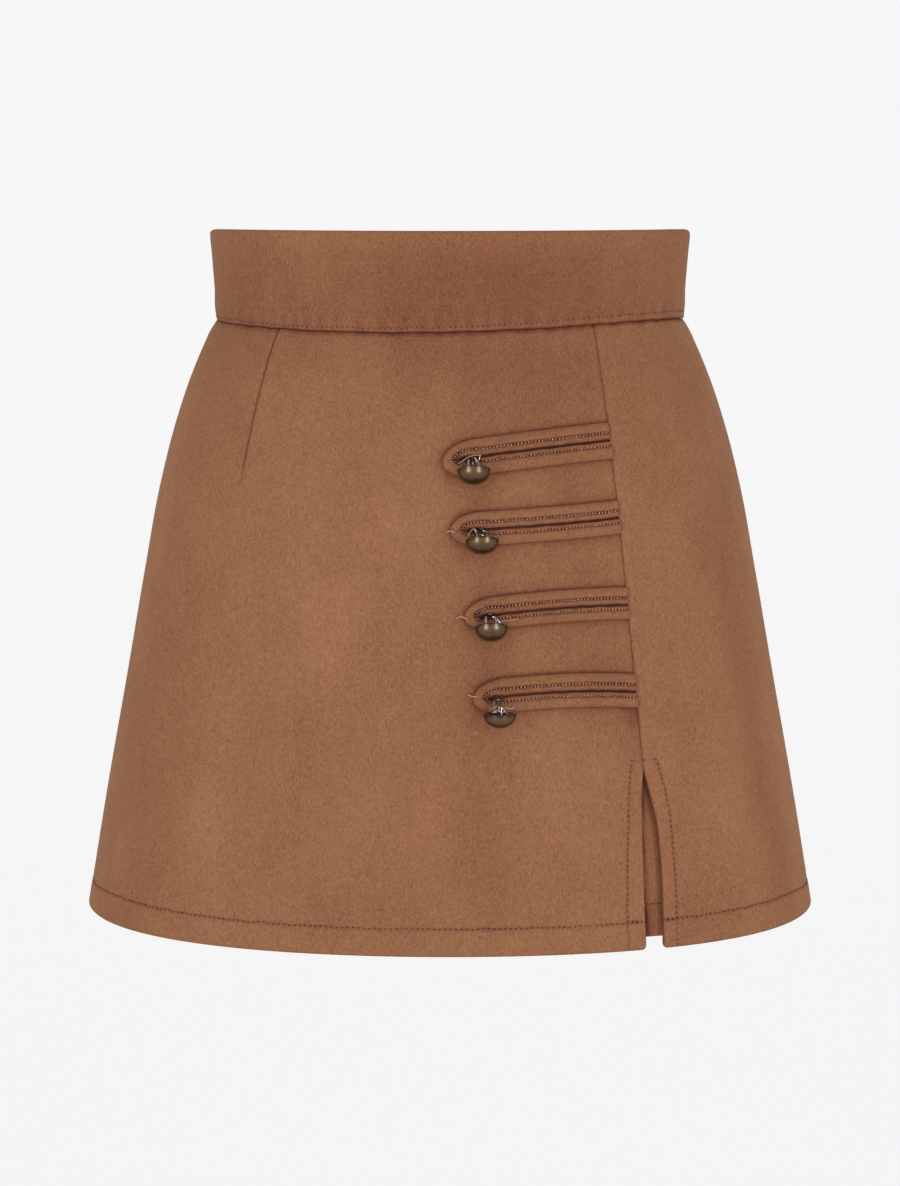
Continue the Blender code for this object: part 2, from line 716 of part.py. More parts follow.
def make_zip_tape(name, side):
    """One woven tape inside the centre back edge."""
    outer, inner = [], []
    for z in TAPE_HEIGHTS:
        edge = back_edge_x(z)
        outer_row, inner_row = [], []
        for share in (0.0, 0.5, 1.0):
            x = edge + (TAPE_WIDTH - edge) * share
            y = back_surface(x, z) - TAPE_DEPTH
            outer_row.append((x * side, y, z))
            inner_row.append((x * side, y - TAPE_WALL, z))
        outer.append(outer_row)
        inner.append(inner_row)
    cloth_wall(name, outer, inner, "zip_tape")


def bridge_places():
    """Y of the waistband's outer face at the slider, of the pull's pin and of the bridge's bar."""
    surface_y = back_surface(0.0, SLIDER_Z)
    pin_y = surface_y + PIN_STANDOFF
    outer_y = pin_y + PULL_THICKNESS / 2.0 + PULL_CLEARANCE + BRIDGE_WIRE_RADIUS
    return surface_y, pin_y, outer_y


def make_slider():
    """Slider body behind the tapes, with a wire bridge that comes out through the notch."""
    surface_y, _, outer_y = bridge_places()
    body_back = surface_y - TAPE_DEPTH - TAPE_WALL - SEAM_GAP
    depth = SLIDER_SIZE[1]
    maker = bmesh.new()
    bmesh.ops.create_cube(maker, size=1.0)
    bmesh.ops.scale(maker, vec=Vector(SLIDER_SIZE), verts=maker.verts)
    upright = [e for e in maker.edges if abs(e.verts[0].co.y - e.verts[1].co.y) > depth / 2.0]
    bmesh.ops.bevel(maker, geom=upright, offset=SLIDER_CORNER, segments=2, affect="EDGES")
    centre = Vector((0.0, body_back - depth / 2.0, SLIDER_Z))
    bmesh.ops.translate(maker, vec=centre, verts=maker.verts)
    slider = add_object("zip_slider", maker, "zip_metal")

    start_y = body_back - depth / 2.0
    path = [Vector((0.0, start_y, BRIDGE_HIGH_Z))]
    for sign, corner_z in ((1.0, BRIDGE_HIGH_Z), (-1.0, BRIDGE_LOW_Z)):
        middle = Vector((0.0, outer_y - BRIDGE_CORNER, corner_z - sign * BRIDGE_CORNER))
        angles = (90.0, 60.0, 30.0, 0.0) if sign > 0.0 else (0.0, -30.0, -60.0, -90.0)
        for angle in angles:
            turn = math.radians(angle)
            spoke = Vector((0.0, math.cos(turn), math.sin(turn)))
            path.append(middle + spoke * BRIDGE_CORNER)
    path.append(Vector((0.0, start_y, BRIDGE_LOW_Z)))
    maker = bmesh.new()
    tube(maker, path, BRIDGE_WIRE_RADIUS, Vector((1.0, 0.0, 0.0)))
    bridge = add_object("zip_bridge_shape", maker, "zip_metal")
    bridge.hide_render = True
    bridge.display_type = "WIRE"
    join = slider.modifiers.new("bridge", "BOOLEAN")
    join.operation = "UNION"
    join.solver = "EXACT"
    join.object = bridge


def make_pull():
    """Pull tab: a pin across the top, two arms round the bridge and a rounded blade."""
    _, pin_y, _ = bridge_places()
    pin_z = BRIDGE_LOW_Z + BRIDGE_WIRE_RADIUS + PULL_CLEARANCE + PULL_THICKNESS / 2.0
    half = PULL_THICKNESS / 2.0
    blade = PULL_LENGTH - PULL_WINDOW
    # Height on the pin's axis, half width of the outline, half width of the middle column.
    rows = [(z, wide, PULL_WINDOW_HALF)
            for z, wide in zip((half, -half, -PULL_WINDOW), PULL_ARM_HALF_WIDTHS)]
    rows += [(-PULL_WINDOW - row.share * blade, row.half_width, row.middle_half_width)
             for row in PULL_BLADE]
    maker = bmesh.new()
    layers = []
    for y in (-half, half):
        layers.append([[maker.verts.new((x, y, z)) for x in (-wide, -narrow, narrow, wide)]
                       for z, wide, narrow in rows])
    solid = {(r, c) for r in range(len(rows) - 1) for c in range(3)} - {(1, 1)}
    near, far = layers
    for r, c in sorted(solid):
        maker.faces.new((near[r][c], near[r][c + 1], near[r + 1][c + 1], near[r + 1][c]))
        maker.faces.new((far[r][c], far[r + 1][c], far[r + 1][c + 1], far[r][c + 1]))
        for dr, dc, first, second in ((-1, 0, (0, 0), (0, 1)), (1, 0, (1, 1), (1, 0)),
                                      (0, -1, (1, 0), (0, 0)), (0, 1, (0, 1), (1, 1))):
            if (r + dr, c + dc) in solid:
                continue
            a, b = (r + first[0], c + first[1]), (r + second[0], c + second[1])
            maker.faces.new((near[b[0]][b[1]], near[a[0]][a[1]], far[a[0]][a[1]], far[b[0]][b[1]]))
    pull = add_object("zip_pull", maker, "zip_metal")
    pull.matrix_world = Matrix.Translation((0.0, pin_y, pin_z))


# ---------------------------------------------------------------- the whole garment
def build():
    clear_scene()
    make_band_front()
    make_band_back("waistband_back_right", 1.0)
    make_band_back("waistband_back_left", -1.0)
    make_front_panel()
    make_side_front_panel()
    for side, word in ((1.0, "right"), (-1.0, "left")):
        make_shorts_quarter("shorts_front_" + word, side, True)
        make_shorts_quarter("shorts_back_" + word, side, False)
        make_zip_tape("zip_tape_" + word, side)
    for tab in TABS:
        make_tab(tab)
    for button, tab in zip(BUTTONS, TABS):
        make_button(button)
        make_button_eye(button, tab)
    make_slider()
    make_pull()


build()
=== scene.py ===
"""High-waisted skort in suede-look cloth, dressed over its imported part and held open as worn.

The sections follow the order of sewing: the shorts, the skirt front over them, the button loops,
the buttons, the waistband and the centre back zip. The studio comes last.
Metres, +Z up, front towards -Y. A turn is the angle in degrees round the body from centre front.
"""

import math
from collections import namedtuple

import bpy
import numpy as np
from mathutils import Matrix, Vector


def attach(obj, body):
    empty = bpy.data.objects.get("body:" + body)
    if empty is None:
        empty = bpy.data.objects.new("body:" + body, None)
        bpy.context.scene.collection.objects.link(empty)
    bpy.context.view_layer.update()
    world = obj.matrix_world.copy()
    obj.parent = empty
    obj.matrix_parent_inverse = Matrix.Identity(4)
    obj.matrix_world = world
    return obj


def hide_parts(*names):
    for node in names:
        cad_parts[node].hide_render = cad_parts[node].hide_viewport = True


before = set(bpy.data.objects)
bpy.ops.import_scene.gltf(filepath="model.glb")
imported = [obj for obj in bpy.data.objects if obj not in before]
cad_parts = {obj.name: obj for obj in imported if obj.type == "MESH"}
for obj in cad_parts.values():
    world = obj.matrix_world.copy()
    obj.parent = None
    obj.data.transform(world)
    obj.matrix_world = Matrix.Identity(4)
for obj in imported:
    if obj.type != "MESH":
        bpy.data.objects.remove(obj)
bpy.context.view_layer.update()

# ------------------------------------------------------------------------------- shorts
# The garment's base: four quarters of brushed suede-look cloth joined at the rises, the inseams
# and the side seams, each leg with a turned-up, topstitched hem. The front hangs under the skirt,
# the back shows whole, with a dart in each quarter and soft folds under the seat.
CLOTH_WALL = 0.0016
SEAM_GAP = -0.00006  # below 0: neighbours bite into each other by a hair, so no light comes through
LAYER_GAP = 0.0005
SQUARENESS = 0.016
SEAM_FRONT_DIP = 0.0047
SEAM_TILT = 0.0016
SEAM_WAVE = 0.00012
SHORTS_HEM_Z = -0.3175
FRONT_FORK_Z = -0.175
BACK_FORK_Z = -0.150
CROTCH_Z = -0.258
CROTCH_Y = 0.008
LEG_CORNER = 0.045
LEG_PARTING = 0.009
FRONT_LAYER_DROP = 0.0035
FRONT_DROP_LENGTH = 0.120
OUTER_LEG_TURN = 28.0
BEND_LENGTH = 0.020
FRONT_ROW_STEP = 0.0042
BACK_ROW_STEP = 0.0026
SEAM_ROLL = 0.00024
STITCH_SINK = 0.00030  # how far a row of stitches draws the cloth in


def in_millimetres(kind, *rows):
    """A table of rows with named columns, from sizes given in millimetres."""
    return [kind(*np.divide(row, 1000.0).tolist()) for row in rows]


Section = namedtuple("Section", "z half_width front_depth back_depth")
BODY = in_millimetres(
    Section,
    (3, 124.0, 93.2, 93.5),
    (0, 125.6, 94.0, 94.5),
    (-12, 131.9, 97.0, 98.5),
    (-30, 139.6, 100.8, 103.5),
    (-55, 148.1, 104.8, 109.0),
    (-90, 157.2, 109.0, 114.5),
    (-135, 165.7, 112.0, 119.0),
    (-190, 175.5, 115.0, 121.5),
    (-250, 186.5, 119.0, 123.0),
    (-330, 200.0, 124.5, 124.8),
)


def unit(vectors):
    return vectors / np.linalg.norm(vectors, axis=-1, keepdims=True)


def fade(distance, width):
    """1 on a line, falling smoothly to 0 at about twice the width from it."""
    return np.exp(-(distance / width) ** 2)


def ease(value, start, end):
    """0 before the start, 1 after the end, and smooth between them."""
    part = np.clip((value - start) / (end - start), 0.0, 1.0)
    return part * part * (3.0 - 2.0 * part)


def lengths(line):
    """How far along a line of points each of them lies."""
    return np.concatenate(((0.0,), np.cumsum(np.linalg.norm(np.diff(line, axis=0), axis=1))))


def smooth_curve(marks, values):
    """A curve through a table's values that never overshoots them, as a function of arrays."""
    order = np.argsort(marks)
    marks, values = np.array(marks, float)[order], np.array(values, float)[order]
    gaps = np.diff(marks)
    rises = np.diff(values) / gaps
    inside = (rises[:-1] * gaps[1:] + rises[1:] * gaps[:-1]) / (gaps[:-1] + gaps[1:])
    inside[rises[:-1] * rises[1:] <= 0.0] = 0.0
    slopes = np.concatenate((rises[:1], inside, rises[-1:]))

    def at(mark):
        mark = np.clip(mark, marks[0], marks[-1])
        i = np.clip(np.searchsorted(marks, mark, side="right") - 1, 0, len(gaps) - 1)
        part = (mark - marks[i]) / gaps[i]
        keep = (1.0 + 2.0 * part) * (1.0 - part) ** 2
        pull = (1.0 - part) * slopes[i] - part * slopes[i + 1]
        bent = gaps[i] * part * (1.0 - part) * pull
        return keep * values[i] + (1.0 - keep) * values[i + 1] + bent

    return at


def curves(table):
    """A curve for each column of a table, against its first column."""
    marks, *columns = zip(*table)
    return [smooth_curve(marks, column) for column in columns]


def plan(turn):
    """Shares of the half width and of the depth on a softly squared oval."""
    angle = np.radians(turn)
    across = np.sin(angle) + SQUARENESS * np.sin(3.0 * angle)
    ahead = np.cos(angle) - SQUARENESS * np.cos(3.0 * angle)
    return across / (1.0 - SQUARENESS), ahead / (1.0 - SQUARENESS)


class Form:
    """The hollow form that the cloth keeps: ovals through a table of sections."""

    def __init__(self, sections):
        self.half_width, self.front_depth, self.back_depth = curves(sections)

    def point(self, turn, z):
        turn, z = np.broadcast_arrays(np.asarray(turn, float), np.asarray(z, float))
        across, ahead = plan(turn)
        depth = np.where(ahead > 0.0, self.front_depth(z), self.back_depth(z))
        return np.stack((self.half_width(z) * across, -depth * ahead, z), axis=-1)

    def outward(self, turn, z):
        small_turn, small_z = 0.05, 0.00005
        along = self.point(turn + small_turn, z) - self.point(turn - small_turn, z)
        down = self.point(turn, z - small_z) - self.point(turn, z + small_z)
        return unit(np.cross(down, along))

    def degree(self, turn, z):
        """Length along the cloth of one degree of turn."""
        return np.linalg.norm(self.point(turn + 0.5, z) - self.point(turn - 0.5, z), axis=-1)


body = Form(BODY)


def front_part(turn):
    return np.maximum(0.0, np.cos(np.radians(turn)))


def waist_seam_z(turn):
    ahead = front_part(turn)
    tilt = np.where(ahead > 0.0, SEAM_TILT * np.sin(np.radians(2.0 * np.asarray(turn))), 0.0)
    drawn = SEAM_WAVE * np.sin(np.multiply(turn, 0.47) + 1.9 * np.sin(np.multiply(turn, 0.13)))
    return tilt - SEAM_FRONT_DIP * ahead ** 3 + drawn * np.minimum(1.0, 5.0 * ahead)


Crease = namedtuple("Crease", "start_side start_z end_side end_z width depth bow")


def creases(side, z, folds):
    """Relief of soft folds: side is along the cloth, a trough's depth is below 0."""
    relief = np.zeros(np.broadcast(side, z).shape)
    for fold in folds:
        reach = np.array((fold.end_side - fold.start_side, fold.end_z - fold.start_z))
        length = np.hypot(*reach)
        right, up = reach / length
        across, rise = side - fold.start_side, z - fold.start_z
        along = np.clip((across * right + rise * up) / length, 0.0, 1.0)
        off = across * up - rise * right - fold.bow * 4.0 * along * (1.0 - along)
        relief += fold.depth * fade(off, fold.width) * np.sin(np.pi * along) ** 0.8
    return relief


def tube_faces(rings):
    """Four-sided faces round a tube, from the point numbers of its rings."""
    around = np.roll(rings, -1, axis=-1)
    near, far = np.s_[..., :-1, :], np.s_[..., 1:, :]
    corners = np.stack((rings[near], around[near], around[far], rings[far]), -1)
    return corners.reshape(-1, 4).tolist()


def capped_faces(rings):
    """The same with a face over each end."""
    ends = rings[..., 0, ::-1], rings[..., -1, :]
    return tube_faces(rings) + [ring for end in ends for ring in np.atleast_2d(end).tolist()]


def placed(name, data):
    thing = bpy.data.objects.new(name, data)
    bpy.context.scene.collection.objects.link(thing)
    return thing


def add_piece(name, points, faces, finish):
    """A smooth mesh object from points and faces, turned so that its faces look out."""
    mesh = bpy.data.meshes.new(name)
    mesh.from_pydata(np.asarray(points, float).tolist(), [], faces)
    mesh.calc_loop_triangles()
    corners = np.zeros(len(mesh.loop_triangles) * 3, np.int32)
    mesh.loop_triangles.foreach_get("vertices", corners)
    a, b, c = np.asarray(points, float)[corners.reshape(-1, 3)].transpose(1, 0, 2)
    if np.einsum("ij,ij->", a, np.cross(b, c)) < 0.0:
        mesh.flip_normals()
    mesh.materials.append(finish)
    mesh.shade_smooth()
    return placed(name, mesh)


def points_of(piece):
    places = np.zeros(len(piece.data.vertices) * 3)
    piece.data.vertices.foreach_get("co", places)
    return places.reshape(-1, 3)


def note(piece, **numbers):
    """Writes one number a point under each name, which the finish reads."""
    for name, values in numbers.items():
        layer = piece.data.attributes.new(name, "FLOAT", "POINT")
        layer.data.foreach_set("value", np.float32(np.zeros(len(layer.data)) + np.ravel(values)))


def dress(piece, slot, *nodes):
    """The piece rides on the garment and hides the CAD solids it stands for; slot is not used."""
    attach(piece, "garment")
    if nodes:
        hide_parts(*nodes)
    return piece


def cloth_piece(name, outer, outward, wall, finish, rolls, shade=0.0, faced=False):
    """A closed shell of cloth: a grid of points, its back one wall behind, and rounded edges.

    Rolls are the radii along the first and last row and the first and last column. Shade is
    painted light and shade in the colour: the nap's own lighter and darker patches, and
    painted shade at seams, folds and edges and round the loops. A faced piece has its right
    side inside too.
    """
    rows, columns = outer.shape[:2]
    size = rows * columns
    index = np.arange(size).reshape(rows, columns)
    rim = np.concatenate((index[0], index[1:, -1], index[-1, -2::-1], index[-2:0:-1, 0]))
    inset, roll = np.zeros_like(outer), np.zeros((rows, columns, 1))
    sides = ((np.s_[0], np.s_[1]), (np.s_[-1], np.s_[-2]),
             (np.s_[:, 0], np.s_[:, 1]), (np.s_[:, -1], np.s_[:, -2]))
    for (edge, beside), radius in zip(sides, rolls):
        step = outer[edge] - outer[beside]
        room = np.linalg.norm(step, axis=-1, keepdims=True)
        inset[edge] += step / room * np.minimum(radius, 0.85 * room)
        roll[edge] = np.maximum(roll[edge], radius)
    shells = [outer, outer - outward * wall]
    front, back, out, drawn, fat = (
        grid.reshape(size, -1)[rim] for grid in (*shells, outward, inset, roll))
    lips = [front - out * wall / 2.0]
    for angle in np.radians((60.0, 30.0)):
        in_by, down_by = drawn * (1.0 - math.sin(angle)), out * fat * (1.0 - math.cos(angle))
        lips = [front - in_by - down_by] + lips + [back - in_by + down_by]

    quads = np.stack((index[:-1, :-1], index[1:, :-1], index[1:, 1:], index[:-1, 1:]), -1)
    quads = quads.reshape(-1, 4)
    bands = 2 * size + np.arange(len(lips) * len(rim)).reshape(len(lips), -1)
    bands = np.concatenate(([rim], bands, [rim + size]))
    faces = quads.tolist() + (quads[:, ::-1] + size).tolist() + tube_faces(bands)
    points = np.concatenate([(shell - inset).reshape(-1, 3) for shell in shells] + lips)
    piece = add_piece(name, points, faces, finish)
    shade = np.broadcast_to(shade, (rows, columns)).ravel()
    inside = 0.0 if faced else 1.0
    wrong = np.zeros(len(points))
    wrong[size:2 * size], wrong[-len(rim):] = inside, 0.6 * inside
    note(piece, shade=np.concatenate([shade, shade] + [shade[rim]] * len(lips)), wrong_side=wrong)
    return piece


class Dye:
    """One output in a finish's recipe. A sum written with it adds the nodes that work it out."""

    def __init__(self, tree, end):
        self.tree, self.end = tree, end

    def node(self, kind, inputs, settings=(), output=0):
        """Any other node: its settings come first, then the values or links of its sockets."""
        made = self.tree.nodes.new("ShaderNode" + kind)
        for name, value in dict(settings).items():
            setattr(made, name, value)
        for name, value in inputs.items():
            if isinstance(value, Dye):
                value.into(made.inputs[name])
            else:
                made.inputs[name].default_value = value
        return Dye(self.tree, made.outputs[output])

    def sum(self, operation, first, second):
        kind = "Math"
        if any(isinstance(x, Dye) and x.end.type in ("VECTOR", "RGBA") for x in (first, second)):
            kind = "VectorMath"
            first, second = ((x,) * 3 if isinstance(x, float) else x for x in (first, second))
        return self.node(kind, {0: first, 1: second}, {"operation": operation})

    def __add__(self, other):
        return self.sum("ADD", self, other)

    def __radd__(self, other):
        return self.sum("ADD", other, self)

    def __sub__(self, other):
        return self.sum("SUBTRACT", self, other)

    def __rsub__(self, other):
        return self.sum("SUBTRACT", other, self)

    def __mul__(self, other):
        return self.sum("MULTIPLY", self, other)

    def __rmul__(self, other):
        return self.sum("MULTIPLY", other, self)

    def noise(self, scale, detail=2.0, roughness=0.5):
        """Cloudy noise about 0 where this is the place that it is read at."""
        sockets = {"Vector": self, "Scale": scale, "Detail": detail, "Roughness": roughness}
        return self.node("TexNoise", sockets) - 0.5

    def between(self, low, high):
        """The colour this share of the way from one colour to the other."""
        ends = (x if isinstance(x, Dye) else (*x, 1.0) for x in (low, high))
        sockets = dict(zip((0, 6, 7), (self, *ends)))
        return self.node("Mix", sockets, {"data_type": "RGBA"}, output=2)

    def noted(self, name):
        """A number written on the piece's points."""
        return self.node("Attribute", {}, {"attribute_name": name}, output=2)

    def bump(self, strength, distance=0.0002):
        return self.node("Bump", {"Height": self, "Strength": strength, "Distance": distance})

    def into(self, socket):
        self.tree.links.new(self.end, socket)


def finish_of(name, sockets):
    """A new material: itself, its shader's sockets and the place that its patterns are read at."""
    material = bpy.data.materials.new(name)
    material.use_nodes = True
    tree = material.node_tree
    shader = tree.nodes["Principled BSDF"].inputs
    for socket, value in sockets.items():
        shader[socket].default_value = value
    return material, shader, Dye(tree, tree.nodes.new("ShaderNodeTexCoord").outputs["Object"])


def suede(name, painted_light=(1.0, 1.0, 1.0)):
    """Brushed suede-look cloth: clouded where the nap lies either way, with an upright grain."""
    light, dark = (np.multiply(colour, painted_light).tolist()
                   for colour in ((0.448, 0.214, 0.107), (0.160, 0.0535, 0.0234)))
    material, shader, place = finish_of(name, {
        "Sheen Weight": 0.08, "Sheen Roughness": 0.45, "Sheen Tint": (0.90, 0.58, 0.38, 1.0),
        "Specular IOR Level": 0.10})
    clouds = place.noise(13.0, 2.0) * 0.32 + (place * (1.0, 1.0, 0.45)).noise(46.0, 3.0) * 0.26
    grain = (place * (1.0, 1.0, 0.55)).noise(1150.0, 1.5, 0.6)
    fibre = place.noise(2100.0, 1.0)
    lie = clouds + grain * 0.90 + fibre * 0.44 + place.noise(230.0, 2.0) * 0.20 + 0.5
    nap = lie.node("Clamp", {0: lie}).between(dark, light)
    # Painted light and shade scale the nap's colour, and deep painted shade turns it redder.
    lit = place.noted("shade") + 1.0
    deep = lit.node("Math", {0: lit, 1: 1.0}, {"operation": "MINIMUM"})
    deep = deep.node("Math", {0: deep, 1: 0.5}, {"operation": "POWER"}) * lit
    nap = nap * lit.node("CombineXYZ", {"X": lit, "Y": deep, "Z": deep})
    backing = (0.5 + grain * 0.6).between((0.235, 0.115, 0.068), (0.30, 0.155, 0.095))
    place.noted("wrong_side").between(nap, backing).into(shader["Base Color"])
    (0.92 - 0.12 * clouds).into(shader["Roughness"])
    height = grain * 0.8 + fibre * 0.4 + place.noise(160.0, 2.0) * 0.4
    height.bump(0.35, 0.0006).into(shader["Normal"])
    return material


suede_cloth = suede("suede")
# The layer behind the slit is the same cloth, its colour painted lighter against the shade in the
# slit.
inner_suede = suede("suede_inner_layer", (1.11, 1.09, 1.05))


def thread(name, top, hole):
    """Sewing thread, its hole colour painted shade where each stitch dives into the cloth."""
    material, shader, place = finish_of(name, {"Roughness": 0.75, "Specular IOR Level": 0.15})
    wear_and_hole_shade = place.noted("sunk").between(top, hole)
    (wear_and_hole_shade * (1.0 + place.noise(1400.0) * 0.7)).into(shader["Base Color"])
    place.noise(3000.0, 1.0).bump(0.5).into(shader["Normal"])
    return material


hem_thread = thread("hem_thread", (0.300, 0.138, 0.082), (0.105, 0.033, 0.020))


def stitches(name, runs, finish, pitch=0.00280, length=0.00266, radius=0.00029, rise=0.00018,
             hole=1.55, uneven=0.25):
    """Topstitching: small arched tubes along lines of points, each with the cloth's outward."""
    stations = np.array((0.0, 0.10, 0.24, 0.5, 0.76, 0.90, 1.0))
    # Painted shade: each station's share of the way to the thread's hole colour, dark where it
    # dives into the cloth.
    hole_shade_at = np.array((1.0, 0.95, 0.05, 0.0, 0.05, 0.95, 1.0))
    fat_at = np.array((hole, 0.85 * hole, 0.95, 1.0, 0.95, 0.85 * hole, hole))
    spokes = np.radians(np.arange(0.0, 360.0, 60.0))
    bedded = 0.00006
    rng = np.random.default_rng(len(name))
    points, sunk, faces, made = [], [], [], 0
    for line, outward in runs:
        run = lengths(line)
        count = int(run[-1] / pitch)
        middles = (np.arange(count) + 0.5) * run[-1] / count + rng.normal(0.0, 0.05 * pitch, count)
        marks = middles[:, None] + (stations - 0.5) * length
        at, up = (np.stack([np.interp(marks, run, column) for column in grid.T], -1)
                  for grid in (line, outward))
        up = unit(up)
        across = np.cross(up, unit(at[:, -1:] - at[:, :1]))
        swing = rng.normal(0.0, 0.06 * pitch, (count, 1, 1))
        at = at + across * swing + up * (rise * np.sin(np.pi * stations) - bedded)[:, None]
        ring = (across[:, :, None] * np.cos(spokes)[:, None]
                + up[:, :, None] * np.sin(spokes)[:, None])
        tube = at[:, :, None] + ring * (radius * fat_at)[:, None, None]
        faces += capped_faces(made + np.arange(tube[..., 0].size).reshape(tube.shape[:3]))
        points.append(tube.reshape(-1, 3))
        made += len(points[-1])
        dull = hole_shade_at + uneven * rng.random((count, 1)) ** 2
        sunk.append(np.broadcast_to(np.minimum(dull, 1.0)[..., None], tube.shape[:3]).ravel())
    piece = add_piece(name, np.concatenate(points), faces, finish)
    note(piece, sunk=np.concatenate(sunk))
    return piece


def shorts_ring(z, front):
    """Half width and depth of the outer face at one level."""
    half_width = body.half_width(z)
    if not front:
        return half_width, body.back_depth(z)

    def slanted(curve):
        slope = (curve(z - 0.001) - curve(z + 0.001)) / 0.002
        return (CLOTH_WALL + LAYER_GAP) * math.hypot(1.0, slope)

    drop = FRONT_LAYER_DROP * ease(-z, 0.0, FRONT_DROP_LENGTH)
    return (half_width - slanted(body.half_width),
            body.front_depth(z) - slanted(body.front_depth) - drop)


def shorts_row(z, front, inner_count, outer_count):
    """One level of a quarter from the centre seam to the side seam: x and the distance out."""
    half_width, depth = shorts_ring(z, front)
    fork_z = FRONT_FORK_Z if front else BACK_FORK_Z
    end = SEAM_GAP / 2.0 + (-CROTCH_Y if front else CROTCH_Y)
    forked = min(1.0, max(0.0, (fork_z - z) / (fork_z - CROTCH_Z)))
    fold = (depth - end) * (1.0 - math.sqrt(1.0 - forked * forked))
    corner = LEG_CORNER * (1.0 - math.exp(-fold / LEG_CORNER))
    below = max(0.0, (CROTCH_Z - z) / (CROTCH_Z - SHORTS_HEM_Z))
    inner_x = SEAM_GAP / 2.0 + LEG_PARTING * below
    across, ahead = plan(np.linspace(0.0, OUTER_LEG_TURN, 121))
    ring_x, ring_out = half_width * across, depth * ahead
    bend = np.radians(np.linspace(0.0, 90.0, 31))
    corner_x = inner_x + corner * (1.0 - np.sin(bend))
    corner_out = np.interp(corner_x, ring_x, ring_out) - corner * (1.0 - np.cos(bend))
    wide = ring_x > corner_x[0] + 0.00001
    x = np.concatenate((ring_x[wide][::-1], corner_x, (inner_x,)))
    out = np.concatenate((ring_out[wide][::-1], corner_out, (min(corner_out[-1], depth - fold),)))
    moved = np.concatenate(((True,), np.hypot(np.diff(x), np.diff(out)) > 1e-7))
    x, out = x[moved], out[moved]
    heading = np.unwrap(np.arctan2(np.diff(out), np.diff(x)))
    bends = np.concatenate(((0.0,), np.abs(np.diff(heading))))
    # Columns gather at bends, and less where the fork is still shallow.
    gathered = BEND_LENGTH * min(1.0, fold / BEND_LENGTH)
    steps = np.hypot(np.diff(x), np.diff(out)) + gathered * bends
    run = np.concatenate(((0.0,), np.cumsum(steps)))
    marks = np.linspace(run[-1], 0.0, inner_count + 1)
    across, ahead = plan(np.linspace(OUTER_LEG_TURN, 90.0, outer_count + 1)[1:])
    return (np.concatenate((np.interp(marks, run, x), half_width * across)),
            np.concatenate((np.interp(marks, run, out), depth * ahead)))


# Drag lines from the fork out under the seat, soft upright folds down the leg, and two short
# puckers under the waistband.
RIGHT_BACK_CREASES = in_millimetres(
    Crease,
    (4, -222, 112, -196, 7.5, -1.6, 10),
    (14, -250, 88, -226, 6.0, -1.1, 6),
    (40, -178, 104, -168, 8.0, -0.7, 5),
    (120, -205, 128, -312, 10.0, -1.0, -4),
    (74, -240, 70, -316, 9.0, -0.9, 3),
    (160, -120, 150, -230, 12.0, -0.6, 4),
    (30, -6, 31, -21, 3.0, -0.4, 0),
    (112, -5, 115, -17, 3.4, -0.4, 0),
)
LEFT_BACK_CREASES = in_millimetres(
    Crease,
    (3, -219, 100, -203, 8.0, -1.4, 8),
    (18, -252, 96, -220, 5.5, -1.2, 8),
    (52, -184, 110, -171, 7.0, -0.6, 4),
    (108, -214, 119, -314, 11.0, -1.1, -3),
    (62, -246, 60, -316, 8.0, -0.8, 2),
    (150, -105, 146, -250, 13.0, -0.6, 3),
    (46, -5, 47, -18, 3.2, -0.4, 0),
    (92, -6, 94, -22, 3.0, -0.4, 0),
)
BACK_DART_SIDE = 0.066
BACK_DART_SLANT = 0.010
BACK_DART_LENGTH = 0.098
SHORTS_HEM_STITCH = 0.0168


def shorts_relief(side, z, front, folds):
    """Height of the nap side over the plain form, and the painted shade on it."""
    down = -z
    above_stitch = z - SHORTS_HEM_Z - SHORTS_HEM_STITCH
    relief = -STITCH_SINK * fade(above_stitch, 0.0008) + 0.0002 * ease(-above_stitch, 0.0, 0.002)
    # Painted shade along the hem's stitches, and at the front below them.
    shade = -0.05 * fade(above_stitch, 0.0012)
    if front:
        return relief, shade - 0.15 * ease(-above_stitch, 0.0, 0.0015)
    dart_off = side - BACK_DART_SIDE + BACK_DART_SLANT * down / BACK_DART_LENGTH
    dart = 1.0 - ease(down, BACK_DART_LENGTH * 0.75, BACK_DART_LENGTH)
    folds = creases(side, z, folds)
    relief += (folds - 0.0006 * dart * fade(dart_off, 0.0011)
               - 0.0004 * fade(down, 0.0018) + 0.0004 * fade(down - 0.007, 0.004))
    # Painted shade in the folds, along the dart and under the waist seam.
    shade += (55.0 * folds - 0.30 * dart * fade(dart_off, 0.0008)
              - 0.12 * ease(0.030 - down, 0.0, 0.030))
    return relief, shade


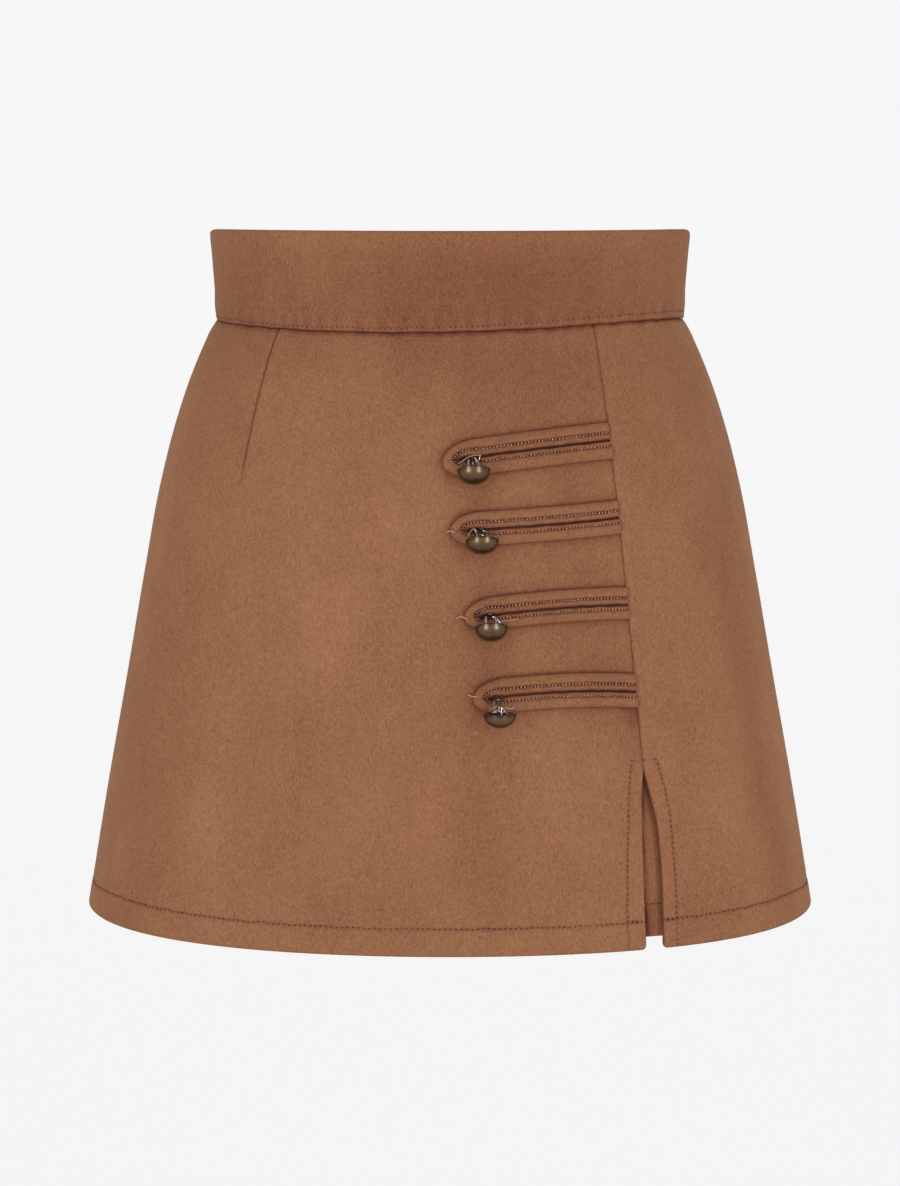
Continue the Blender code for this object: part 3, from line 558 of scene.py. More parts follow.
leg_hem_runs = []
Quarter = namedtuple("Quarter", "node side front inner_count outer_count creases")
for quarter in (
    Quarter("shorts_front_right", 1.0, True, 30, 96, ()),
    Quarter("shorts_front_left", -1.0, True, 24, 24, ()),
    Quarter("shorts_back_right", 1.0, False, 52, 52, RIGHT_BACK_CREASES),
    Quarter("shorts_back_left", -1.0, False, 52, 52, LEFT_BACK_CREASES),
):
    fork_z, step = ((FRONT_FORK_Z, FRONT_ROW_STEP) if quarter.front
                    else (BACK_FORK_Z, BACK_ROW_STEP))
    upper = np.linspace(-SEAM_GAP / 2.0, fork_z, round(-fork_z / step) + 1)
    forked = fork_z + (CROTCH_Z - fork_z) * np.sin(np.radians(np.linspace(0.0, 90.0, 40)[1:]))
    leg = np.linspace(CROTCH_Z, SHORTS_HEM_Z, round((CROTCH_Z - SHORTS_HEM_Z) / step) + 1)[1:]
    levels = np.concatenate((upper, forked, leg))
    rows = [shorts_row(z, quarter.front, quarter.inner_count, quarter.outer_count) for z in levels]
    x, out = np.array(rows).transpose(1, 0, 2)
    z = np.repeat(levels[:, None], x.shape[1], axis=1)
    # The side count starts on the centre line, so that below the crotch it starts at the inseam.
    steps = np.hypot(np.diff(x), np.diff(out))
    side = np.concatenate((np.zeros((len(levels), 1)), np.cumsum(steps, axis=1)), 1)
    facing = -1.0 if quarter.front else 1.0
    outer = np.stack((x, facing * out, z), -1)
    if quarter.front:
        depth = np.array([shorts_ring(level, True)[1] for level in levels])[:, None]
        turn = np.degrees(np.arctan2(x / x[:, -1:], np.maximum(out, 0.0) / depth))
        outer[..., 2] += waist_seam_z(turn * quarter.side) * (1.0 - z / SHORTS_HEM_Z)
    outer[:, -1, 1] = facing * SEAM_GAP / 2.0
    outward = facing * np.cross(np.gradient(outer, axis=1), np.gradient(outer, axis=0))
    outward *= math.copysign(1.0, outward[0, -1, 0])
    # At the seams the wall stands square to the plane that both sides share.
    outward[:, -1, 1] = 0.0
    outward[levels <= CROTCH_Z, 0, 1] = 0.0
    outward[levels >= fork_z + 0.25 * (CROTCH_Z - fork_z), 0, 0] = 0.0
    outward = unit(outward)
    relief, shade = shorts_relief(side, z, quarter.front, quarter.creases)
    mirror = np.array((quarter.side, 1.0, 1.0))
    outer, outward = (outer + outward * relief[..., None]) * mirror, outward * mirror
    piece = cloth_piece(quarter.node + "_cloth", outer, outward, CLOTH_WALL,
                        inner_suede if quarter.front else suede_cloth,
                        (SEAM_ROLL, CLOTH_WALL / 2.0, SEAM_ROLL, SEAM_ROLL), shade)
    dress(piece, "suede", quarter.node)
    stitch_row = np.argmin(np.abs(levels - (SHORTS_HEM_Z + SHORTS_HEM_STITCH)))
    leg_hem_runs.append((outer[stitch_row], outward[stitch_row]))

dress(stitches("shorts_hem_stitches", leg_hem_runs, hem_thread), "suede")

# --------------------------------------------------------------------------- skirt front
# Laid over the shorts from side seam to side seam: a wide panel with a waist dart and a narrower
# one past the button stand. Their seam opens at its foot into a slit with topstitched edges.
HEM_Z = -0.3173
HEM_FRONT_DIP = 0.0066
HEM_STITCH = 0.0143
HEM_CORNER = 0.0024
SLIT_TOP_SHARE = 0.709
SLIT_BAR_SHARE = 0.695
SLIT_ROLL = 0.00040
EDGE_COLUMNS = 24
EDGE_GATHERING = 1.2
DART_TURN = -42.3
DART_SHARE = 0.265
TAB_SEAM_GAP = 0.00025
HIP_Z = -0.16
GROOVE_WIDTH = 0.0009
SLIT_BLEND = 0.004  # the seam turns into the slit over twice this share of the height
STITCH_BED = -0.00018
KNOT_BED = -0.00010
BAR_BED = -0.00002

# Each row: the share of the way down to the hem, then the turns of the wide and the side panel's
# edges. The second table is the topstitching, further from its edge as the slit opens.
front_edge, side_edge = curves((
    (0.000, 34.2, 34.2), (0.060, 32.9, 32.9), (0.160, 31.9, 31.9),
    (0.450, 31.5, 31.5), (0.709, 31.5, 31.5), (0.737, 31.0, 32.0),
    (0.820, 30.2, 33.1), (0.900, 29.7, 32.9), (1.000, 29.2, 32.2),
))
front_stitch, side_stitch = curves((
    (0.695, 29.4, 34.1), (0.730, 28.8, 35.0), (0.760, 28.3, 35.6),
    (0.855, 27.2, 35.7), (0.910, 26.7, 35.5), (1.000, 26.2, 34.7),
))

# A button loop is a folded strip bent into a hairpin: nose on the left, ends in the panel seam.
# Its slot runs a little below its middle.
Tab = namedtuple("Tab", "name nose_turn nose_z middle_z seam_z height slot_drop")
TABS = (
    Tab("tab_1", -1.4, -0.0702, -0.0642, -0.0602, 0.0186, 0.0001),
    Tab("tab_2", 0.0, -0.1049, -0.1023, -0.0993, 0.0174, 0.0006),
    Tab("tab_3", 2.3, -0.1492, -0.1445, -0.1437, 0.0166, 0.0011),
    Tab("tab_4", 3.6, -0.1912, -0.1876, -0.1890, 0.0176, 0.0007),
)


def skirt_z(turn, share):
    top = waist_seam_z(turn) - SEAM_GAP / 2.0
    return top + share * (HEM_Z - HEM_FRONT_DIP * front_part(turn) - top)


GIRTH_TURNS = np.linspace(-92.0, 92.0, 369)
GIRTHS = lengths(body.point(GIRTH_TURNS, HIP_Z))
GIRTHS -= np.interp(0.0, GIRTH_TURNS, GIRTHS)


def girth(turn):
    """Metres along the cloth from the centre front, at the height of the hips."""
    return np.interp(turn, GIRTH_TURNS, GIRTHS)


def tab_spine(tab, along):
    """Turn and height on a loop's middle line: along is 0 at its nose and 1 at the seam."""
    end = front_edge(tab.seam_z / HEM_Z)
    end = end - TAB_SEAM_GAP / body.degree(end, tab.seam_z)
    bend = 2.0 * (tab.nose_z + tab.seam_z - 2.0 * tab.middle_z)
    z = tab.nose_z + (tab.seam_z - tab.nose_z - bend) * along + bend * along * along
    return tab.nose_turn + (end - tab.nose_turn) * along, z


def tab_length(tab):
    return lengths(body.point(*tab_spine(tab, np.linspace(0.0, 1.0, 11))))[-1]


def tab_distance(tab, turn, z):
    """Distance outside a loop's outline (below 0 inside it) and distance from its middle line."""
    nose_centre, nose_stretch = 0.0105, 0.85
    along = (turn - tab.nose_turn) / (tab_spine(tab, 1.0)[0] - tab.nose_turn)
    off = z - tab_spine(tab, np.clip(along, 0.0, 1.0))[1]
    start = along * tab_length(tab) - nose_centre
    from_spine = np.where(start < 0.0, np.hypot(start * nose_stretch, off), np.abs(off))
    return from_spine - tab.height / 2.0, np.where(along > 0.0, np.abs(off), 1.0)


def nap_and_shade_patches(side, z, side_of, blotches):
    """Patches of the nap's own tone, and patches of painted light and shade."""
    return sum(
        change * fade(side - side_of(turn), wide / 1000.0) * fade(z - up / 1000.0, high / 1000.0)
        for turn, up, wide, high, change in blotches)


# Each row: turn, then height, half width and half height in millimetres, then the shade. Some
# rows are the nap's own tone; others are painted shade round the loops, under the waist seam
# and beside the panel seam.
SKIRT_BLOTCHES = (
    (-39.3, -179, 12, 90, 0.045), (-23.0, -60, 36, 22, 0.035), (-14.0, -92, 30, 30, 0.035),
    (-20.0, -162, 40, 50, 0.025), (-55.0, -110, 20, 50, 0.020), (-55.7, -257, 20, 25, -0.045),
    (-30.0, -230, 30, 30, -0.020), (-5.0, -250, 45, 50, -0.035), (18.0, -280, 40, 25, -0.025),
    (-48.0, -300, 40, 18, -0.020), (5.5, -125, 11, 85, -0.130), (22.0, -75, 22, 55, -0.050),
    (24.0, -160, 18, 60, -0.045), (0.0, -14, 160, 13, -0.100), (12.0, -30, 50, 22, -0.090),
    (-32.5, -50, 15, 20, 0.030), (50.0, -270, 14, 60, 0.040), (62.8, -195, 9, 40, -0.050),
    (64.4, -286, 12, 30, -0.040), (41.8, -263, 18, 30, 0.030), (45.0, -60, 20, 30, -0.025),
    (38.5, -300, 10, 22, -0.045), (66.0, -275, 12, 40, -0.050), (30.6, -200, 4, 8, -0.200),
    (30.0, -210, 6, 13, -0.110),
)


def skirt_creases(*rows):
    """Creases on the skirt: turn and height of both ends, width, depth and bow, sizes in mm."""
    return [Crease(girth(first), start_z / 1000.0, girth(last), *np.divide(rest, 1000.0).tolist())
            for first, start_z, last, *rest in rows]


FRONT_CREASES = skirt_creases(
    # Short drags under the waist seam, then soft folds that run down the wide panel.
    (-10.2, -5.0, -10.0, -17.0, 2.6, -0.50, 0),
    (-27.0, -4.0, -26.0, -12.0, 3.0, -0.35, 0),
    (4.5, -5.0, 5.6, -15.0, 2.8, -0.40, 0),
    (19.5, -3.5, 18.6, -13.0, 2.6, -0.35, 0),
    (-61.0, -2.0, -60.0, -11.0, 3.0, -0.35, 0),
    (-42.0, -83, -38.0, -305, 11.0, 0.85, 4),
    (-52.0, -120, -54.0, -310, 13.0, -0.80, -4),
    (-29.0, -150, -31.0, -312, 13.0, -0.70, 3),
    (-12.0, -200, -10.0, -316, 15.0, 0.80, 3),
    (4.0, -225, 8.0, -318, 13.0, -0.80, 3),
    (21.0, -218, 20.0, -316, 11.0, 0.70, 2),
    # The pull of each button on its loop, to the left of the noses.
    (-3.0, -72.0, -14.0, -83.0, 3.2, -0.40, 2),
    (-1.8, -107.5, -11.0, -113.0, 3.0, -0.35, 1.5),
    (0.8, -150, -9.0, -160, 3.4, -0.40, 2),
    (2.0, -193, -8.0, -206, 3.8, -0.45, 2),
    # Under the buttons and between the loops.
    (3.0, -86, 5.0, -96, 3.6, -0.40, 0),
    (4.8, -122, 6.0, -137, 3.6, -0.45, 1),
    (6.2, -166, 7.4, -180, 3.6, -0.45, 1),
    (8.0, -212, 11.0, -235, 4.2, -0.60, 1),
    (14.0, -79, 29.0, -84, 3.6, -0.45, 1.2),
    (15.0, -119, 29.5, -126, 4.0, -0.50, 1.4),
    (16.0, -162, 29.5, -170, 4.0, -0.50, 1),
    (24.0, -206, 31.0, -201, 4.0, -0.60, 0),
)
SIDE_CREASES = skirt_creases(
    (46.0, -50, 50.0, -300, 11.0, 0.80, 3),
    (60.0, -105, 63.0, -295, 10.0, -0.90, 2),
    (39.0, -130, 40.0, -230, 8.0, -0.50, 1),
    (72.0, -150, 70.0, -305, 11.0, 0.80, -2),
    (47.0, -4, 47.6, -14, 2.8, -0.40, 0),
    (61.0, -2, 60.0, -12, 3.0, -0.35, 0),
)


def hem_stitch_up(turn):
    """The hem's stitches run a little higher towards the sides and turn down at the side seams."""
    turned = np.where(np.asarray(turn) > 0.0, 0.0042, 0.0030) * ease(np.abs(turn), 62.0, 90.0)
    return HEM_STITCH + 0.0012 * (1.0 - front_part(turn)) - turned


def skirt_relief(turn, z, share, edge, stitch, folds):
    """Height over the plain form, and painted shade and light, the same for both panels."""
    side = girth(turn)
    down = waist_seam_z(turn) - SEAM_GAP / 2.0 - z
    hem_up = z - skirt_z(turn, 1.0)
    stitch_off = hem_up - hem_stitch_up(turn)
    degree = body.degree(edge, z)
    edge_off, slit_off = np.abs(turn - edge) * degree, np.abs(turn - stitch) * degree
    in_slit, sewn_slit = (
        ease(share, top - SLIT_BLEND, top + SLIT_BLEND)
        for top in (SLIT_TOP_SHARE, SLIT_BAR_SHARE))
    seamed = 1.0 - in_slit
    gather = np.sin(side * 690.0 + 2.1 * np.sin(side * 97.0)) * 0.5 + 0.5
    pucker = np.sin(side * 420.0 + 2.6 * np.sin(side * 71.0)) * 0.5 + 0.5
    drawn = 1.0 + 0.35 * np.sin(np.radians(turn))
    creased = creases(side, z, folds)
    # Sunk at the waist seam, the rows of stitches and the panel seam, and full beside them.
    relief = (creased - 0.00030 * fade(down, 0.0010) + 0.00035 * fade(down - 0.0065, 0.0040)
              - 0.00022 * pucker * fade(down - 0.0030, 0.0034)
              - STITCH_SINK * fade(stitch_off, GROOVE_WIDTH)
              + 0.00025 * ease(-stitch_off, 0.0, 0.002)
              - 0.00012 * gather * fade(stitch_off, 0.004)
              - sewn_slit * STITCH_SINK * fade(slit_off, GROOVE_WIDTH)
              + seamed * (0.0003 * fade(edge_off - 0.0030, 0.0020)
                          - 0.00025 * fade(edge_off, GROOVE_WIDTH)))
    # Painted shade in troughs, at the waist seam and its puckers (deeper towards the right), along
    # the stitches, the hem's fold, the slit's edges and the panel seam; painted light on ridges and
    # beside the panel seam on the side panel.
    shade = (60.0 * np.minimum(creased, 0.0) + 25.0 * np.maximum(creased, 0.0)
             - (0.30 + 0.10 * pucker) * drawn * fade(down, 0.0008)
             - (0.04 + 0.05 * pucker) * fade(down, 0.0036)
             - 0.04 * fade(stitch_off, 0.0011) - 0.12 * fade(hem_up, 0.0008)
             - sewn_slit * 0.04 * fade(slit_off, 0.0011)
             - in_slit * np.where(edge > turn, 0.12, 0.42) * fade(edge_off, 0.00055)
             - seamed * 0.14 * fade(edge_off, 0.0006)
             + seamed * np.where(turn > edge, 0.05 * fade(edge_off - 0.0026, 0.0014),
                                 -0.07 * fade(edge_off, 0.0020)))
    return relief, shade + nap_and_shade_patches(side, z, girth, SKIRT_BLOTCHES)


def spaced(*stretches):
    """Evenly spaced marks along each stretch, given as its start, end and step."""
    return np.concatenate([np.arange(*stretch) for stretch in stretches])


def panel_grid(edge_of, on_right, turns, shares):
    """Turn, height, share and edge at a panel's points, whose columns gather towards the slit."""
    share = np.repeat(shares[:, None], len(turns) + EDGE_COLUMNS, axis=1)
    edge = edge_of(share[:, :1])
    half_gap = SEAM_GAP / 2.0 / body.degree(edge, skirt_z(edge, share[:, :1]))
    edge = edge - half_gap if on_right else edge + half_gap
    near = turns[-1] if on_right else turns[0]
    gathered = edge + (near - edge) * (np.arange(EDGE_COLUMNS) / EDGE_COLUMNS) ** EDGE_GATHERING
    even = np.repeat(turns[None], len(shares), 0)
    turn = np.concatenate((even, gathered[:, ::-1]) if on_right else (gathered, even), 1)
    # The hem lifts into a small round corner where it meets the slit.
    z = skirt_z(turn, share)
    inside = np.clip(HEM_CORNER - np.abs(turn - edge) * body.degree(edge, z), 0.0, HEM_CORNER)
    lift = HEM_CORNER - np.sqrt(np.maximum(HEM_CORNER ** 2 - inside * inside, 0.0))
    return turn, z + lift * ease(share, 0.975, 1.0), share, edge


def panel_piece(node, turn, z, relief, shade, side_seam, rolls):
    outward = body.outward(turn, z)
    outer = body.point(turn, z) + outward * relief[..., None]
    outer[:, side_seam, 1] = -SEAM_GAP / 2.0
    rolls = (SEAM_ROLL, CLOTH_WALL / 2.0, *rolls)
    piece = cloth_piece(node + "_cloth", outer, outward, CLOTH_WALL, suede_cloth, rolls, shade)
    return dress(piece, "suede", node)


dart_tip_z = float(skirt_z(DART_TURN, DART_SHARE))
turn, z, share, edge = panel_grid(
    front_edge, True,
    spaced((-90.0, -50.0, 1.25), (-50.0, -46.2, 0.8), (-46.2, -38.4, 0.3),
           (-38.3, -8.0, 1.15), (-8.0, 24.1, 0.55)),
    spaced((0.0, 0.129, 0.0080), (0.13, 0.699, 0.0035), (0.70, 0.934, 0.0065),
           (0.935, 0.999, 0.0030), (1.0, 1.1)))
relief, shade = skirt_relief(turn, z, share, edge, front_stitch(share[:, :1]), FRONT_CREASES)
dart_off = (turn - DART_TURN) * body.degree(DART_TURN, z)
sewn = 1.0 - ease(share, DART_SHARE * 0.80, DART_SHARE)
relief += sewn * (-0.00045 * fade(dart_off, 0.0008)
                  + 0.00025 * fade(np.abs(dart_off) - 0.0028, 0.0020))
relief += 0.00070 * fade(np.hypot(dart_off, z - dart_tip_z + 0.006), 0.016)
# Painted shade along the dart's seam.
shade -= sewn * 0.48 * fade(dart_off, 0.00065)
# The cloth dips round each loop and lies in its shade, more so above it and in its slot.
for tab in TABS:
    beyond, middle_off = tab_distance(tab, turn, z)
    above = z > tab_spine(tab, 0.5)[1]
    clear = np.maximum(beyond - 0.0002, 0.0)
    relief -= (0.00045 * fade(np.maximum(beyond, 0.0), 0.0016)
               + 0.0003 * fade(beyond - 0.0055, 0.003) * ~above)
    shade -= (np.where(above, 0.27, 0.14) * fade(clear, 0.0008)
              + np.where(above, 0.06, 0.13) * fade(clear, 0.0042)
              + 0.28 * fade(middle_off, 0.0026) * (beyond < -0.004))
piece = panel_piece("front_panel", turn, z, relief, shade, 0, (SEAM_ROLL, SLIT_ROLL))

turn, z, share, edge = panel_grid(
    side_edge, False, np.arange(40.0, 90.1, 1.0),
    spaced((0.0, 0.935, 0.0065), (0.935, 0.999, 0.0030), (1.0, 1.1)))
relief, shade = skirt_relief(turn, z, share, edge, side_stitch(share[:, :1]), SIDE_CREASES)
piece = panel_piece("side_front_panel", turn, z, relief, shade, -1, (SLIT_ROLL, SEAM_ROLL))

# The wide panel's free edge keeps the light off the layer just behind it: painted shade beside
# that edge, and painted light higher in the slit and beside the side panel's edge.
under = bpy.data.objects["shorts_front_right_cloth"]
noted = under.data.attributes["shade"].data
x, y, z = points_of(under).T
share = np.clip(z / skirt_z(30.0, 1.0), 0.0, 1.0)
off = x - body.point(front_edge(share), z)[:, 0]
far_off = body.point(side_edge(share), z)[:, 0] - x
shade = np.zeros(len(noted))
noted.foreach_get("value", shade)
shade += (0.10 * ease(share, 0.70, 0.74) * (1.0 - ease(share, 0.84, 0.95))
          + 0.14 * fade(far_off - 0.0010, 0.0030) - ease(share, 0.69, 0.72)
          * (0.58 * fade(off - 0.0002, 0.0010) + 0.12 * fade(off, 0.0038)))
noted.foreach_set("value", shade)


def skirt_run(turn, z, lift):
    """A line of points for stitches on the skirt, with the cloth's outward at each."""
    outward = body.outward(turn, z)
    return body.point(turn, z) + outward * lift, outward


skirt_runs = []
for side, edge_of, stitch_of in ((-1.0, front_edge, front_stitch), (1.0, side_edge, side_stitch)):
    corner = edge_of(1.0)
    turn = np.linspace(88.5 * side, corner + 0.25 * side, 260)
    z = skirt_z(turn, 1.0) + hem_stitch_up(turn) + 0.0002 * np.sin(turn * 1.7)
    skirt_runs.append(skirt_run(turn, z, STITCH_BED))
    # The hem's row is sewn back over itself where it ends beside the slit.
    knot = np.linspace(corner + 2.2 * side, corner + 0.3 * side, 20)
    for offset in (-0.0004, 0.0005):
        z = skirt_z(knot, 1.0) + hem_stitch_up(knot) + offset
        skirt_runs.append(skirt_run(knot, z, KNOT_BED))
    share = np.linspace(SLIT_BAR_SHARE, 0.997, 100)
    turn = stitch_of(share)
    skirt_runs.append(skirt_run(turn, skirt_z(turn, share), STITCH_BED))
bar_turn = np.linspace(front_stitch(SLIT_BAR_SHARE), side_stitch(SLIT_BAR_SHARE), 40)
skirt_runs.append(skirt_run(bar_turn, skirt_z(bar_turn, SLIT_BAR_SHARE), BAR_BED))
dress(stitches("skirt_stitches", skirt_runs, hem_thread), "suede")

# --------------------------------------------------------------------------- button loops
# Folded strips turned back on themselves, puffed along the outer edge, topstitched beside the
# narrow slot that is left for the button. Each nose is tacked down to the skirt.
TAB_NOSE_LENGTH = 0.016
TAB_SLOT_HEIGHT = 0.0011
TAB_SLOT_START = 0.0085
TAB_SLOT_NOSE = 0.0015
TAB_STRAIGHT = 0.62
TAB_STITCH_ACROSS = 0.63
TAB_LOW_STITCH_ACROSS = 0.77
TAB_STITCH_PITCH = 0.0018
TAB_STITCH_LIFT = 0.00006
TAB_PUCKERS = 62.0
TAB_STATIONS = 561

# Each loop holds the button that hangs at its slot's end. Drop is how far below the middle line
# the eye's arch turns in, and dive is how far it reaches into the slot.
Button = namedtuple("Button", "name turn z tilt clearance drop dive")
BUTTONS = (
    Button("button_1", 4.12, -0.0750, 22.5, 0.0005, 0.0014, 0.0019),
    Button("button_2", 5.32, -0.1100, 20.5, 0.0005, 0.0014, 0.0019),
    Button("button_3", 6.55, -0.1542, 22.5, 0.0005, 0.0016, 0.0019),
    Button("button_4", 7.50, -0.1983, 2.0, 0.0031, 0.0040, 0.0030),
)

# A loop's section from its rim (0) to its slot (1): place and height in millimetres.
TAB_SECTION = (
    (0.000, 0.1), (0.008, 0.7), (0.040, 1.4), (0.110, 2.0), (0.220, 2.5), (0.340, 2.7),
    (0.460, 2.5), (0.550, 1.9), (0.600, 1.4), (0.640, 1.3), (0.690, 1.6), (0.780, 1.8),
    (0.900, 1.7), (0.970, 1.3), (0.999, 0.8), (1.000, 0.1),
)
section_marks, section_lifts = np.array(TAB_SECTION).T
rows = np.arange(len(TAB_SECTION))
tab_marks = np.interp(np.arange(0.0, len(rows) - 0.9, 0.5), rows, section_marks)
tab_lifts = np.interp(tab_marks, section_marks, section_lifts / 1000.0)


def eye_place(tab, button):
    return (button.turn - tab.nose_turn) / (tab_spine(tab, 1.0)[0] - tab.nose_turn)


def tab_point(tab, along, across, lift):
    turn, z = tab_spine(tab, along)
    outward = body.outward(turn, z + across)
    return body.point(turn, z + across) + outward * np.asarray(lift)[..., None], outward


def hairpin(length, start, nose, half_height, station):
    """Distance from the nose and off the middle line: station runs from 0 over the nose to 2."""
    way = np.where(station <= 1.0, station, 2.0 - station)
    side = np.where(station <= 1.0, 1.0, -1.0)
    straight = length + (start + nose - length) * way / TAB_STRAIGHT
    angle = np.radians(90.0) * np.clip((way - TAB_STRAIGHT) / (1.0 - TAB_STRAIGHT), 0.0, 1.0)
    along = np.where(way < TAB_STRAIGHT, straight, start + nose * (1.0 - np.sin(angle)))
    return along, side * half_height * np.cos(angle)


def tab_relief(tab, along, station, across):
    """Uneven fullness of a loop: softer towards the seam, nipped at the nose, drawn at stitches."""
    seed = tab.nose_z * 900.0
    full = 1.0 + 0.07 * np.sin(station * 9.0 + seed) + 0.05 * np.sin(station * 23.0 + 2.0 * seed)
    drawn = (np.sin(station * 2.0 * math.pi * TAB_PUCKERS)
             * fade(across - TAB_STITCH_ACROSS, 0.09))
    nipped = 0.35 * fade(station - 1.0, 0.035) * fade(across - 1.0, 0.75)
    return full * (1.0 + 0.05 * drawn) - nipped - 0.22 * ease(along, 0.93, 1.0)


def stitch_place(station):
    """How far in the row of stitches runs: nearer the slot on the lower flange."""
    in_by = TAB_LOW_STITCH_ACROSS - TAB_STITCH_ACROSS
    return TAB_STITCH_ACROSS + in_by * ease(station, 0.88, 1.12)


tab_runs = []
for tab, button in zip(TABS, BUTTONS):
    length = tab_length(tab)

    def between(station, across):
        """Place on the flat loop, from its rim (across 0) to the slot (across 1)."""
        rim = hairpin(length, 0.0, TAB_NOSE_LENGTH, tab.height / 2.0, station)
        slot = hairpin(length, TAB_SLOT_START, TAB_SLOT_NOSE, TAB_SLOT_HEIGHT / 2.0, station)
        wavy = 0.30 * np.sin(station * 61.0 + tab.nose_z * 900.0) * np.sin(station * 17.0 + 1.0)
        wide = 1.0 + wavy + 0.9 * fade(slot[0] - TAB_SLOT_START - 0.0028, 0.0030)
        return (rim[0] + (slot[0] - rim[0]) * across,
                rim[1] + (slot[1] * wide - tab.slot_drop - rim[1]) * across)

    station = np.linspace(0.0, 2.0, TAB_STATIONS)[:, None]
    mark, stitched = tab_marks[None], stitch_place(station)
    # The section's columns slide so that its stitched place stays under the stitches.
    outside = mark * stitched / TAB_STITCH_ACROSS
    inside = stitched + (mark - TAB_STITCH_ACROSS) * (1.0 - stitched) / (1.0 - TAB_STITCH_ACROSS)
    place = between(station, np.where(mark < TAB_STITCH_ACROSS, outside, inside))
    relief = tab_relief(tab, place[0] / length, station, mark)
    outer, outward = tab_point(tab, place[0] / length, place[1], tab_lifts * relief)
    faces = capped_faces(np.arange(outer[..., 0].size).reshape(outer.shape[:2]))
    piece = add_piece(tab.name + "_cloth", outer.reshape(-1, 3), faces, suede_cloth)
    upper = 1.0 - ease(station, 0.94, 1.06)
    uneven = 1.0 + 0.45 * np.sin(station * 31.0 + tab.nose_z * 700.0) * np.sin(station * 13.0)
    nose_seam = fade(station - 1.0, 0.008) * ease(mark, 0.15, 0.5)
    second_fold = (fade(mark - 0.84, 0.035)
                   * ease(station, 1.30, 1.45) * ease(-station, -1.96, -1.88))
    along_row = lengths(np.stack(between(station, stitched), -1)[:, 0])[:, None]
    holes = np.cos(2.0 * math.pi * along_row / TAB_STITCH_PITCH) * 0.5 + 0.5
    # Painted shade where the flange steps down to its stitched part, at the needle holes, along the
    # nose seam and a second fold, round the rim, and where it rolls over into the shade of the
    # slot.
    shade = (-0.20 * fade(mark - 0.555, 0.040) * (0.35 + 0.65 * upper)
             - (0.10 + 0.72 * holes) * fade(mark - TAB_STITCH_ACROSS - 0.005, 0.080)
             - 0.07 * fade(mark - 0.72, 0.10)
             - 0.28 * nose_seam - 0.40 * ease(mark, 0.965, 1.0)
             - 0.20 * upper * ease(mark, 0.80, 0.97) - 0.15 * second_fold * uneven
             - (0.13 + 0.13 * upper) * uneven * ease(-mark, -0.05, 0.0)
             - 0.05 * (1.0 - upper) * ease(-mark, -0.45, 0.0) - 0.03)
    # Painted shade in the hollow round the button's eye, where the lower flange is dragged down,
    # and at the slot's end.
    from_eye = place[0] - eye_place(tab, button) * length
    shade -= 0.62 * fade(from_eye + 0.0022, 0.0050) * ease(mark, 0.62, 0.78) * (1.0 - upper)
    shade -= (0.45 * fade(place[0] - TAB_SLOT_START + 0.0012, 0.0016)
              * fade(place[1] + tab.slot_drop, 0.0026))
    note(piece, shade=np.maximum(shade, -0.85), wrong_side=0.0)
    dress(piece, "suede", tab.name)
    stitch_lift = np.interp(TAB_STITCH_ACROSS, tab_marks, tab_lifts)
    for first, last in ((0.01, 0.985), (1.015, 1.99)):
        station = np.linspace(first, last, 240)
        along, across = between(station, stitch_place(station))
        relief = tab_relief(tab, along / length, station, TAB_STITCH_ACROSS)
        lift = stitch_lift * relief + TAB_STITCH_LIFT
        tab_runs.append(tab_point(tab, along / length, across, lift))

loop_thread = thread("loop_thread", (0.70, 0.43, 0.32), (0.030, 0.010, 0.006))
dress(stitches("tab_stitches", tab_runs, loop_thread, pitch=TAB_STITCH_PITCH, length=0.00096,
               radius=0.00036, rise=0.00024, hole=0.80, uneven=0.6), "suede")

# --------------------------------------------------------------------------- buttons
# Four domed buttons in aged bronze, hanging nose down from wire eyes that lean into the slots,
# with the wire's loose strands and the sewing thread above each.
BUTTON_RADIUS = 0.00855
BUTTON_DOME = 0.00705
BUTTON_RIM = 0.0005
BUTTON_RIM_FRONT = 0.0003
BUTTON_HOLLOW = 0.0009
BUTTON_SPOKES = 72
EYE_WIRE_RADIUS = 0.0006
EYE_HALF_WIDTH = 0.0022
EYE_LIFT = 0.0023
EYE_FOOT = 0.00054
EYE_SEAT = 0.0003
EYE_BOW = 0.0004
EYE_ARCH = 0.0010

# The turned section, radius and depth in millimetres: from the hollowed back out over the rim.
BUTTON_BACK = (
    (3.0, 0.9), (4.4, 0.8), (5.8, 0.3), (6.6, -0.2), (7.0, -0.5), (7.6, -0.5), (8.0, -0.4),
    (8.55, -0.15), (8.55, 0.3),
)
rise = np.radians(np.linspace(2.0, 90.0, 23)[:-1])
turned = np.concatenate((np.divide(BUTTON_BACK, 1000.0), np.stack((
    BUTTON_RADIUS * 0.985 * np.cos(rise),
    BUTTON_RIM_FRONT + (BUTTON_DOME - BUTTON_RIM_FRONT) * np.sin(rise)), -1)))

